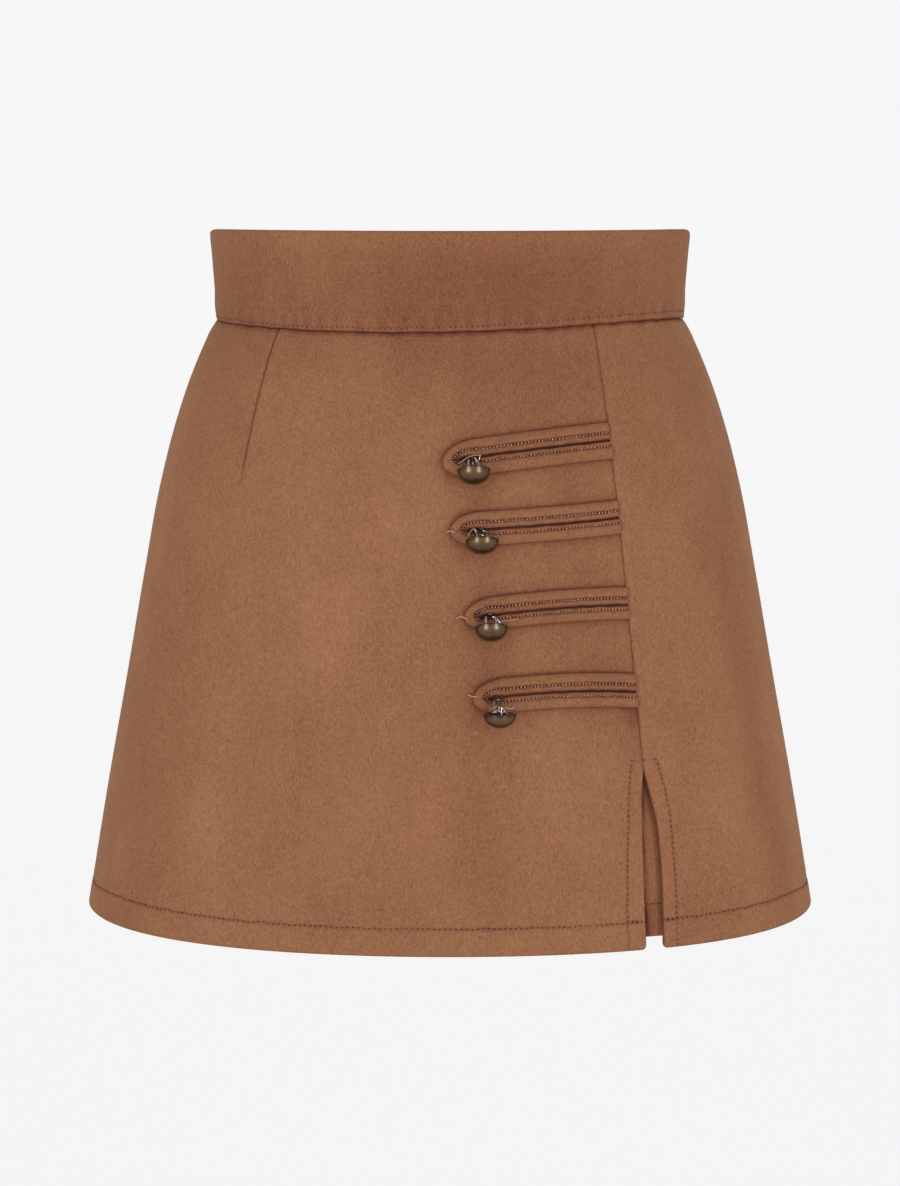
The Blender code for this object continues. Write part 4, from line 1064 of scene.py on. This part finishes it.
# Loose ends: the button, the kind, its radius in millimetres, and points in millimetres to the
# right of the eye's top, above it and off the cloth.
STRANDS = (
    (1, "wire", 0.30, ((2.1, -2.6, 4.4), (1.5, -1.2, 3.8), (1.0, -0.2, 3.4))),
    (1, "wire", 0.24, ((2.1, -2.6, 4.5), (3.0, -0.9, 3.9), (3.6, 0.6, 3.5))),
    (1, "wire", 0.26, ((-0.2, -2.4, 4.2), (-0.1, -3.2, 4.7), (-0.2, -4.2, 5.3))),
    (1, "thread", 0.22, ((-7.0, -3.0, 2.3), (-5.7, -2.4, 2.6), (-4.2, -1.0, 2.8),
                         (-2.6, -0.1, 2.6), (0.5, 0.9, 2.4), (4.1, 1.1, 2.3))),
    (2, "wire", 0.50, ((-3.2, -0.4, 3.2), (-2.5, -2.4, 4.4), (-1.7, -4.0, 5.3))),
    (2, "wire", 0.42, ((0.9, -0.9, 3.4), (1.2, -1.0, 3.5), (1.5, -1.2, 3.6))),
    (2, "wire", 0.22, ((1.4, -1.0, 3.6), (2.0, -1.4, 3.8), (2.3, -2.3, 4.2))),
    (2, "wire", 0.32, ((0.3, -2.8, 4.6), (0.6, -3.2, 4.8), (1.0, -3.6, 5.0))),
    (2, "thread", 0.22, ((-3.6, 0.3, 2.5), (-5.4, -1.3, 2.7), (-6.7, -3.7, 3.0))),
    (2, "thread", 0.22, ((-17.4, -1.8, 0.5), (-16.6, -1.4, 1.4), (-15.4, -1.2, 2.6),
                         (-13.7, -1.8, 2.9))),
    (3, "wire", 0.46, ((-2.3, -1.2, 3.4), (-2.2, -2.2, 4.2), (-2.0, -3.6, 5.0))),
    (3, "wire", 0.40, ((1.3, -1.5, 3.6), (2.8, -2.1, 4.2), (4.1, -3.4, 4.9), (4.8, -4.4, 5.4))),
    (3, "thread", 0.20, ((5.2, -3.9, 3.6), (8.0, -3.6, 2.9), (11.0, -3.4, 2.6), (14.3, -3.0, 2.2))),
    (3, "thread", 0.22, ((-17.0, -2.4, 0.5), (-16.0, -1.8, 1.6), (-14.7, -1.3, 2.6),
                         (-13.3, -2.1, 2.9), (-11.8, -2.5, 2.9))),
    (4, "wire", 0.36, ((2.7, -5.6, 9.8), (3.2, -7.0, 11.0), (4.6, -8.0, 13.6), (6.2, -9.4, 16.9))),
    (4, "wire", 0.30, ((2.4, -5.0, 9.4), (2.2, -6.6, 10.8), (1.0, -7.4, 11.3), (-0.2, -6.6, 11.0),
                       (-0.2, -5.4, 10.4), (0.9, -4.6, 10.0), (2.1, -5.4, 10.6))),
    (4, "wire", 0.30, ((1.1, -5.2, 11.0), (1.0, -6.6, 11.4), (1.1, -8.0, 12.0))),
    (4, "wire", 0.32, ((-1.4, -4.3, 8.6), (-2.6, -5.0, 9.4), (-4.2, -5.4, 9.6))),
    (4, "wire", 0.28, ((-1.3, -6.2, 10.6), (-2.4, -6.8, 11.0), (-3.4, -7.2, 11.2))),
    (4, "thread", 0.22, ((2.2, -4.4, 8.6), (4.5, -5.2, 9.4), (6.0, -5.6, 9.2), (7.4, -5.0, 8.6))),
    (4, "thread", 0.22, ((-15.2, 0.4, 0.6), (-14.0, 0.2, 2.0), (-12.6, 0.0, 2.7),
                         (-11.0, -0.3, 2.8))),
)


def bronze(name, light, dark, rough, roughened, lacquer=0.0):
    """Metal with a patina: rough is its polish, roughened how unevenly it has been handled."""
    material, shader, place = finish_of(name, {
        "Metallic": 0.95, "Coat Weight": lacquer, "Coat Roughness": 0.12})
    wear_and_hole_shade = place.noise(520.0, 3.0, 0.6)
    # The shade written on the points is painted shade that darkens the metal.
    low = place.noted("shade")
    tone = 0.5 + wear_and_hole_shade * (2.2 * roughened + 0.2) + place.noise(90.0) * 0.5 - low
    tone = tone.node("Clamp", {0: tone})
    tone.between(dark, light).into(shader["Base Color"])
    (rough + wear_and_hole_shade * roughened - 0.06 * tone).into(shader["Roughness"])
    rub = place.noise(1500.0, 2.0) + (place * (1.0, 1.0, 5.0)).noise(300.0) * 0.5
    rub.bump(0.35 * roughened).into(shader["Normal"])
    return material


aged_bronze = bronze("aged_bronze", (0.170, 0.094, 0.030), (0.042, 0.021, 0.008), 0.43, 0.14,
                     lacquer=0.5)
bright_wire = bronze("bright_wire", (0.95, 0.93, 0.88), (0.10, 0.07, 0.05), 0.24, 0.40)


def wire(path, radius, spokes=10):
    """Points and faces of a round wire along a path, with rounded ends."""
    cap = np.radians((72.0, 45.0, 20.0))
    lead, trail = unit(path[0] - path[1]), unit(path[-1] - path[-2])
    bulge = radius * np.sin(cap)[:, None]
    fat = radius * np.concatenate((np.cos(cap), np.ones(len(path)), np.cos(cap[::-1])))
    path = np.concatenate((path[0] + lead * bulge, path, path[-1] + trail * bulge[::-1]))
    ahead = unit(np.roll(path, -1, axis=0) - np.roll(path, 1, axis=0))
    ahead[0], ahead[-1] = unit(path[1] - path[0]), unit(path[-1] - path[-2])
    side = np.zeros_like(path)
    side[0] = unit(np.cross(ahead[0], ahead[0][[1, 2, 0]] + (0.31, 0.17, 0.05)))
    for i in range(1, len(path)):
        side[i] = unit(side[i - 1] - ahead[i] * (side[i - 1] @ ahead[i]))
    angle = np.radians(np.arange(spokes) * 360.0 / spokes)
    ring = (side[:, None] * np.cos(angle)[:, None]
            + np.cross(ahead, side)[:, None] * np.sin(angle)[:, None])
    points = (path[:, None] + ring * fat[:, None, None]).reshape(-1, 3)
    return points, capped_faces(np.arange(len(points)).reshape(-1, spokes))


def bent(points, count=24):
    """A smooth path through a few points."""
    marks = lengths(points)
    path = np.linspace(0.0, marks[-1], count)
    return np.stack([smooth_curve(marks, column)(path) for column in points.T], -1)


def joined_piece(name, shapes, finish):
    points, faces, count = [], [], 0
    for shape_points, shape_faces in shapes:
        faces += [[count + i for i in face] for face in shape_faces]
        points.append(shape_points)
        count += len(shape_points)
    return add_piece(name, np.concatenate(points), faces, finish)


button_strands = {"wire": [], "thread": []}
for number, (button, tab) in enumerate(zip(BUTTONS, TABS), 1):
    normal = body.outward(button.turn, button.z)
    out = unit(normal * (1.0, 1.0, 0.0))
    up = np.array((0.0, 0.0, 1.0))
    across = np.cross(up, out)
    tilt = math.radians(button.tilt)
    nose = out * math.sin(tilt) - up * math.cos(tilt)
    centre = (body.point(button.turn, button.z)
              + normal * (BUTTON_RADIUS * math.cos(tilt) + button.clearance))
    angle = np.radians(np.arange(BUTTON_SPOKES) * 360.0 / BUTTON_SPOKES)[:, None]
    spoke = across * np.cos(angle) + np.cross(nose, across) * np.sin(angle)
    rings = centre + nose * turned[:, 1, None, None] + spoke * turned[:, 0, None, None]
    points = np.concatenate((rings.reshape(-1, 3),
                             [centre + nose * BUTTON_HOLLOW, centre + nose * BUTTON_DOME]))
    index = np.arange(len(turned) * BUTTON_SPOKES).reshape(-1, BUTTON_SPOKES)
    faces = tube_faces(index)
    faces += [(b, a, index.size) for a, b in zip(index[0], np.roll(index[0], -1))]
    faces += [(a, b, index.size + 1) for a, b in zip(index[-1], np.roll(index[-1], -1))]
    piece = add_piece(button.name + "_dome", points, faces, aged_bronze)
    # Painted shade and reflection: the dome darker towards its nose and in a ring round its rim.
    fall = (points - centre) @ nose / BUTTON_DOME
    from_centre = np.linalg.norm(points - centre, axis=1)
    rimmed = fade(fall, 0.15) * ease(from_centre, 0.9 * BUTTON_RADIUS, BUTTON_RADIUS)
    note(piece, shade=0.40 * np.clip(fall, 0.0, 1.0) + 0.75 * rimmed - 0.10)
    dress(piece, "aged_bronze", button.name)

    # The eye: two legs up from the rim's plane and an arch that turns into the slot.
    apex = tab_point(tab, eye_place(tab, button), 0.0, EYE_LIFT)[0]
    base = centre - nose * (BUTTON_RIM + EYE_SEAT)
    lean = unit(apex - base)
    shoulder = np.linalg.norm(apex - base) - button.drop
    legs = EYE_FOOT + (shoulder - EYE_FOOT) * np.array((0.0, 0.3, 0.6, 0.85, 1.0))
    apart = EYE_HALF_WIDTH + EYE_BOW * np.sin(math.pi * legs / shoulder)
    arch = np.radians(np.linspace(0.0, 180.0, 17)[1:-1])
    sideways = np.concatenate((-apart, -EYE_HALF_WIDTH * np.cos(arch), apart[::-1]))
    upwards = np.concatenate((legs, shoulder + EYE_ARCH * np.sin(arch), legs[::-1]))
    inwards = np.concatenate((0.0 * legs, button.dive * np.sin(arch), 0.0 * legs))
    path = base + np.stack((sideways, upwards, -inwards), -1) @ np.stack((across, lean, normal))
    piece = joined_piece(button.name + "_eye_wire", [wire(path, EYE_WIRE_RADIUS)], bright_wire)
    heights = (points_of(piece) - base) @ lean
    # The upper three hang tilted, their arches deep in the shade of the slots.
    shaded = 0.75 if button.tilt > 10.0 else 0.15
    note(piece, shade=shaded * ease(heights, shoulder - 0.0008, shoulder + 0.0004))
    dress(piece, "eye_wire", button.name.replace("button", "button_eye"))
    for of_button, kind, radius, ends in STRANDS:
        if of_button == number:
            from_apex = np.divide(ends, 1000.0) - (0.0, 0.0, EYE_LIFT)
            path = bent(apex + from_apex @ np.stack((across, up, out)))
            button_strands[kind].append(wire(path, radius / 1000.0, 8))

piece = joined_piece("button_wire_ends", button_strands["wire"], bright_wire)
note(piece, shade=0.0)
dress(piece, "eye_wire")
piece = joined_piece("button_threads", button_strands["thread"], loop_thread)
note(piece, sunk=0.15)
dress(piece, "suede")

# ----------------------------------------------------------------------------- waistband
# A tall band of doubled cloth with a rolled top edge, in a front and two back halves that meet at
# the zip. One row of stitching runs just above the waist seam.
BAND = in_millimetres(
    Section,
    (-6, 125.8, 94.2, 94.2),
    (0, 126.0, 94.5, 94.5),
    (50, 129.2, 97.4, 97.4),
)
BAND_HEIGHT = 0.048
BAND_WALL = 0.0024
BAND_FRONT_DIP = 0.001
BAND_BACK_DIP = 0.0014
BAND_SIDE_DIP = 0.0018
BAND_SIDE_TURN = 8.5
BAND_ROUND = 0.111
BAND_DARKER_BY = 0.09
BAND_STITCH_BED = 0.0002
NOTCH_HALF_WIDTH = 0.0016
NOTCH_START_Z = 0.032
NOTCH_FULL_Z = 0.0345
band = Form(BAND)

# Patches of the band: some the nap's own tone, others painted shade towards the waist seam.
BAND_BLOTCHES = (
    (22.0, 26, 46, 30, -0.080), (62.0, 22, 40, 30, -0.070), (-2.0, 26, 30, 26, -0.045),
    (-66.0, 20, 30, 30, -0.020), (13.0, 18, 50, 18, -0.095), (0.0, 1, 150, 8, -0.060),
    (-50.0, 28, 45, 30, 0.035), (45.0, 34, 40, 20, 0.020), (-8.0, 44, 180, 7, 0.050),
    (-22.0, 20, 18, 22, -0.030),
)
BAND_CREASES = in_millimetres(
    Crease,
    (-118, 4, -112, 30, 7.0, 0.40, 2),
    (-60, 2, -55, 20, 4.5, -0.35, 1),
    (-20, 0, -26, 16, 4.0, -0.30, 0),
    (34, 0, 30, 20, 4.5, -0.35, 1),
    (78, 3, 86, 26, 5.5, -0.35, 1.5),
    (-90, 34, 20, 30, 8.0, 0.30, 3),
    (30, 26, 120, 36, 8.0, 0.30, -3),
    (168, 4, 172, 30, 6.0, -0.35, 1),
    (204, 2, 200, 22, 5.0, -0.35, 1),
    (-176, 3, -172, 26, 6.0, -0.35, 1),
    (-210, 4, -214, 28, 5.5, -0.30, 1),
)


def back_edge_x(z):
    """The back halves meet on the centre line and part in a notch for the zip's pull."""
    part = np.clip((z - NOTCH_START_Z) / (NOTCH_FULL_Z - NOTCH_START_Z), 0.0, 1.0)
    return SEAM_GAP / 2.0 + part * (NOTCH_HALF_WIDTH - SEAM_GAP / 2.0)


def band_top_z(turn):
    """The top edge dips at the front and the back, and is rounded off over the side seams."""
    ahead = np.cos(np.radians(turn))
    dip = np.where(ahead > 0.0, BAND_FRONT_DIP, BAND_BACK_DIP)
    rounded = BAND_SIDE_DIP * fade(np.abs(turn) - 90.0, BAND_SIDE_TURN)
    return BAND_HEIGHT - dip * ahead * ahead - rounded


def band_stitch_up(turn):
    """The row of stitches wanders off the seam from the left side to the right."""
    even = 0.0030
    ahead = 0.0021 + 0.0017 * ease(turn, -40.0, 50.0)
    return even + (ahead - even) * (1.0 - ease(np.abs(turn), 90.0, 150.0))


def band_side(turn):
    return np.radians(turn) * BAND_ROUND


band_runs = []
Length = namedtuple("Length", "node first last flat")
for length in (
    Length("waistband_front", -90.0, 90.0, (0.363, 0.052)),
    Length("waistband_back_right", 90.0, 180.0, (0.182, 0.048)),
    Length("waistband_back_left", -90.0, -180.0, (0.182, 0.048)),
):
    turns = np.linspace(length.first, length.last, round(abs(length.last - length.first)) + 1)
    seam = waist_seam_z(turns) + SEAM_GAP / 2.0
    top = band_top_z(turns)
    z = seam + np.linspace(0.0, 1.0, 38)[:, None] * (top - seam)
    turn = np.broadcast_to(turns, z.shape)
    up, side = z - seam, band_side(turn)
    stitch_up = band_stitch_up(turn)
    gather = np.sin(side * 760.0 + 2.3 * np.sin(side * 83.0))
    folds = creases(side, z, BAND_CREASES)
    relief = (folds - 0.00030 * fade(up, GROOVE_WIDTH)
              - 0.00025 * fade(up - stitch_up, GROOVE_WIDTH)
              - 0.00010 * gather * fade(up - 0.006, 0.006) + 0.00035 * fade(up - 0.0085, 0.0050)
              + 0.00020 * fade(top - z - 0.004, 0.004))
    # Painted shade in the folds, at the waist seam, beside the stitches and in the gathers, a
    # painted highlight on the ridge between the seam and the stitches, and the whole band a little
    # darker.
    shade = (60.0 * np.minimum(folds, 0.0) - BAND_DARKER_BY
             + nap_and_shade_patches(side, z, band_side, BAND_BLOTCHES)
             - 0.34 * (1.0 + 0.3 * np.sin(np.radians(turn))) * fade(up, 0.0006)
             - 0.05 * fade(up - stitch_up, 0.0010) + 0.07 * fade(up - 0.55 * stitch_up, 0.0007)
             - 0.06 * gather * fade(up - 0.004, 0.005))
    outward = band.outward(turn, z)
    outer = band.point(turn, z) + outward * relief[..., None]
    if length.node == "waistband_front":
        outer[:, (0, -1), 1] = -SEAM_GAP / 2.0
    else:
        outer[:, 0, 1] = SEAM_GAP / 2.0
        outer[:, -1, 0] = math.copysign(1.0, length.last) * back_edge_x(z[:, -1])
    piece = cloth_piece(length.node + "_cloth", outer, outward, BAND_WALL, suede_cloth,
                        (SEAM_ROLL, BAND_WALL / 2.0, SEAM_ROLL, SEAM_ROLL), shade, faced=True)
    dress(piece, "suede", length.node)
    run_z = seam + band_stitch_up(turns)
    outward = band.outward(turns, run_z)
    band_runs.append((band.point(turns, run_z) - outward * BAND_STITCH_BED, outward))
dress(stitches("waistband_stitches", band_runs, hem_thread), "suede")

# -------------------------------------------------------------------------- centre back zip
# A concealed zip behind the centre back edges: two woven tapes, a coil down each, a slider body
# behind them and a hinged pull that hangs outside through the notch.
TAPE_WIDTH = 0.012
TAPE_DEPTH = 0.0027
TAPE_WALL = 0.0006
TAPE_SEAM_X = 0.0045
TAPE_RIBS = 5200.0
ZIP_TOP_Z = 0.046
ZIP_END_Z = -0.135
COIL_PITCH = 0.00125
COIL_RADIUS = 0.00085
COIL_WIRE_RADIUS = 0.00024
COIL_MIDDLE_X = 0.00075
COIL_DEPTH = 0.0009
COIL_HALF_THICKNESS = 0.0006
COIL_LOW_Z = -0.131
COIL_HIGH_Z = 0.034


def back_surface(x, z):
    """How far behind the middle the outer face of the back lies, near the centre back."""
    form = band if z > 0.0 else body
    across, ahead = plan(np.linspace(0.0, 20.0, 201))
    return np.interp(x, form.half_width(z) * across, form.back_depth(z) * ahead)


def woven(name):
    material, shader, place = finish_of(name, {"Sheen Weight": 0.1})
    rib = place.node("TexWave", {"Vector": place, "Scale": 420.0, "Distortion": 1.2},
                     {"bands_direction": "DIAGONAL"}, output=1)
    twill = 0.5 + place.noise(1900.0) * 0.7 + 0.5 * (rib - 0.5)
    twill.between((0.135, 0.056, 0.032), (0.27, 0.125, 0.072)).into(shader["Base Color"])
    (0.80 + 0.15 * place.noise(300.0)).into(shader["Roughness"])
    rib.bump(0.5).into(shader["Normal"])
    return material


zip_tape_cloth = woven("zip_tape")
for side, word in ((1.0, "right"), (-1.0, "left")):
    outer = []
    for z in np.linspace(ZIP_TOP_Z, ZIP_END_Z, 140):
        edge = back_edge_x(z)
        x = edge + (TAPE_WIDTH - edge) * np.linspace(0.0, 1.0, 15)
        y = (back_surface(x, z) - TAPE_DEPTH
             - 0.00025 * fade(x - TAPE_SEAM_X, GROOVE_WIDTH) - 0.00012 * np.sin(x * TAPE_RIBS))
        outer.append(np.stack((x * side, y, np.full(15, z)), -1))
    outer = np.array(outer)
    outward = np.broadcast_to((0.0, 1.0, 0.0), outer.shape)
    piece = cloth_piece("zip_tape_%s_cloth" % word, outer, outward, TAPE_WALL, zip_tape_cloth,
                        (TAPE_WALL / 3.0,) * 4)
    dress(piece, "zip_tape", "zip_tape_" + word)

coils = []
for side in (1.0, -1.0):
    turns = np.arange(0.0, (COIL_HIGH_Z - COIL_LOW_Z) / COIL_PITCH, 0.1)
    z = COIL_LOW_Z + turns * COIL_PITCH
    angle = turns * 2.0 * math.pi
    x = side * (COIL_MIDDLE_X - COIL_RADIUS * np.cos(angle))
    depth = np.array([back_surface(0.001, level) for level in z])
    y = depth - TAPE_DEPTH - TAPE_WALL - COIL_DEPTH + COIL_HALF_THICKNESS * np.sin(angle)
    coils.append(wire(np.stack((x, y, z + 0.25 * COIL_PITCH * side), -1), COIL_WIRE_RADIUS, 6))
piece = joined_piece("zip_coils", coils, thread("zip_coil", (0.24, 0.11, 0.065), (0.1, 0.04, 0.02)))
note(piece, sunk=0.0)
dress(piece, "zip_tape")

zip_metal = bronze("zip_metal", (0.34, 0.25, 0.16), (0.11, 0.075, 0.046), 0.34, 0.30)
for name, width in (("zip_slider", 0.00030), ("zip_pull", 0.00035)):
    node = bpy.data.objects[name]
    node.data.materials.clear()
    node.data.materials.append(zip_metal)
    rounding = node.modifiers.new("rounded edges", "BEVEL")
    rounding.width, rounding.segments = width, 3
    rounding.limit_method, rounding.angle_limit = "ANGLE", math.radians(35.0)

# ------------------------------------------------------------------------------- studio
# A pale seamless sweep far below and behind the hanging garment, even light from all round, two
# tall soft strips, and two soft panels that only polished things mirror.
SWEEP_FLOOR_Z = -1.05
SWEEP_BACK_Y = 2.4
SWEEP_CURVE = 0.9
SWEEP_HALF_WIDTH = 4.0
SWEEP_NEAR_Y = -3.2
SWEEP_TOP_Z = 3.2
PAPER = (0.9225, 0.9225, 0.9225, 1.0)
PAPER_GLOW = 0.70
AIR_LIGHT = 0.72
LAMP_X = 0.93
WHITE = (1.0, 1.0, 1.0)
GARMENT_MIDDLE = Vector((0.0, 0.0, -0.08))
LENS_MM = 100.85
CAMERA_PLACE = (0.0, -1.8, 0.048)
CAMERA_PITCH = 83.7478

curve = np.radians(np.linspace(0.0, 90.0, 25))
profile = [(SWEEP_NEAR_Y, SWEEP_FLOOR_Z), (0.0, SWEEP_FLOOR_Z)]
profile += [(SWEEP_BACK_Y - SWEEP_CURVE + SWEEP_CURVE * math.sin(a),
             SWEEP_FLOOR_Z + SWEEP_CURVE * (1.0 - math.cos(a))) for a in curve]
profile += [(SWEEP_BACK_Y, SWEEP_TOP_Z)]
points = [(x, y, z) for y, z in profile for x in (-SWEEP_HALF_WIDTH, SWEEP_HALF_WIDTH)]
faces = [(2 * i, 2 * i + 1, 2 * i + 3, 2 * i + 2) for i in range(len(profile) - 1)]
mesh = bpy.data.meshes.new("sweep")
mesh.from_pydata(points, [], faces)
mesh.shade_smooth()
mesh.materials.append(finish_of("paper", {
    "Base Color": (0.35, 0.35, 0.35, 1.0), "Roughness": 1.0, "Specular IOR Level": 0.0,
    "Emission Color": PAPER, "Emission Strength": PAPER_GLOW})[0])
staged = [placed("sweep", mesh)]

Lamp = namedtuple("Lamp", "kind width height energy colour y z lights_cloth")
for lamp in (
    Lamp("strip", 0.42, 1.50, 5.0, WHITE, -1.43, -0.08, True),
    Lamp("glint", 0.55, 1.15, 13.0, (0.90, 1.00, 1.30), -1.40, -0.02, False),
):
    for side, word in ((-1.0, "left"), (1.0, "right")):
        light = bpy.data.lights.new(lamp.kind, "AREA")
        light.shape, light.size, light.size_y = "RECTANGLE", lamp.width, lamp.height
        light.energy, light.color = lamp.energy, lamp.colour
        stand = placed("%s_%s" % (lamp.kind, word), light)
        stand.location = (LAMP_X * side, lamp.y, lamp.z)
        stand.rotation_euler = (GARMENT_MIDDLE - stand.location).to_track_quat("-Z", "Y").to_euler()
        stand.visible_camera, stand.visible_diffuse = False, lamp.lights_cloth
        staged.append(stand)

world = bpy.data.worlds.new("studio_air")
world.use_nodes = True
air = world.node_tree.nodes["Background"].inputs
air["Color"].default_value, air["Strength"].default_value = PAPER, AIR_LIGHT
bpy.context.scene.world = world

camera = bpy.data.cameras.new("camera")
camera.lens, camera.sensor_width = LENS_MM, 36.0
viewer = placed("camera", camera)
viewer.location = CAMERA_PLACE
viewer.rotation_euler = (math.radians(CAMERA_PITCH), 0.0, 0.0)
bpy.context.scene.camera = viewer
bpy.context.scene.view_settings.view_transform = "Standard"
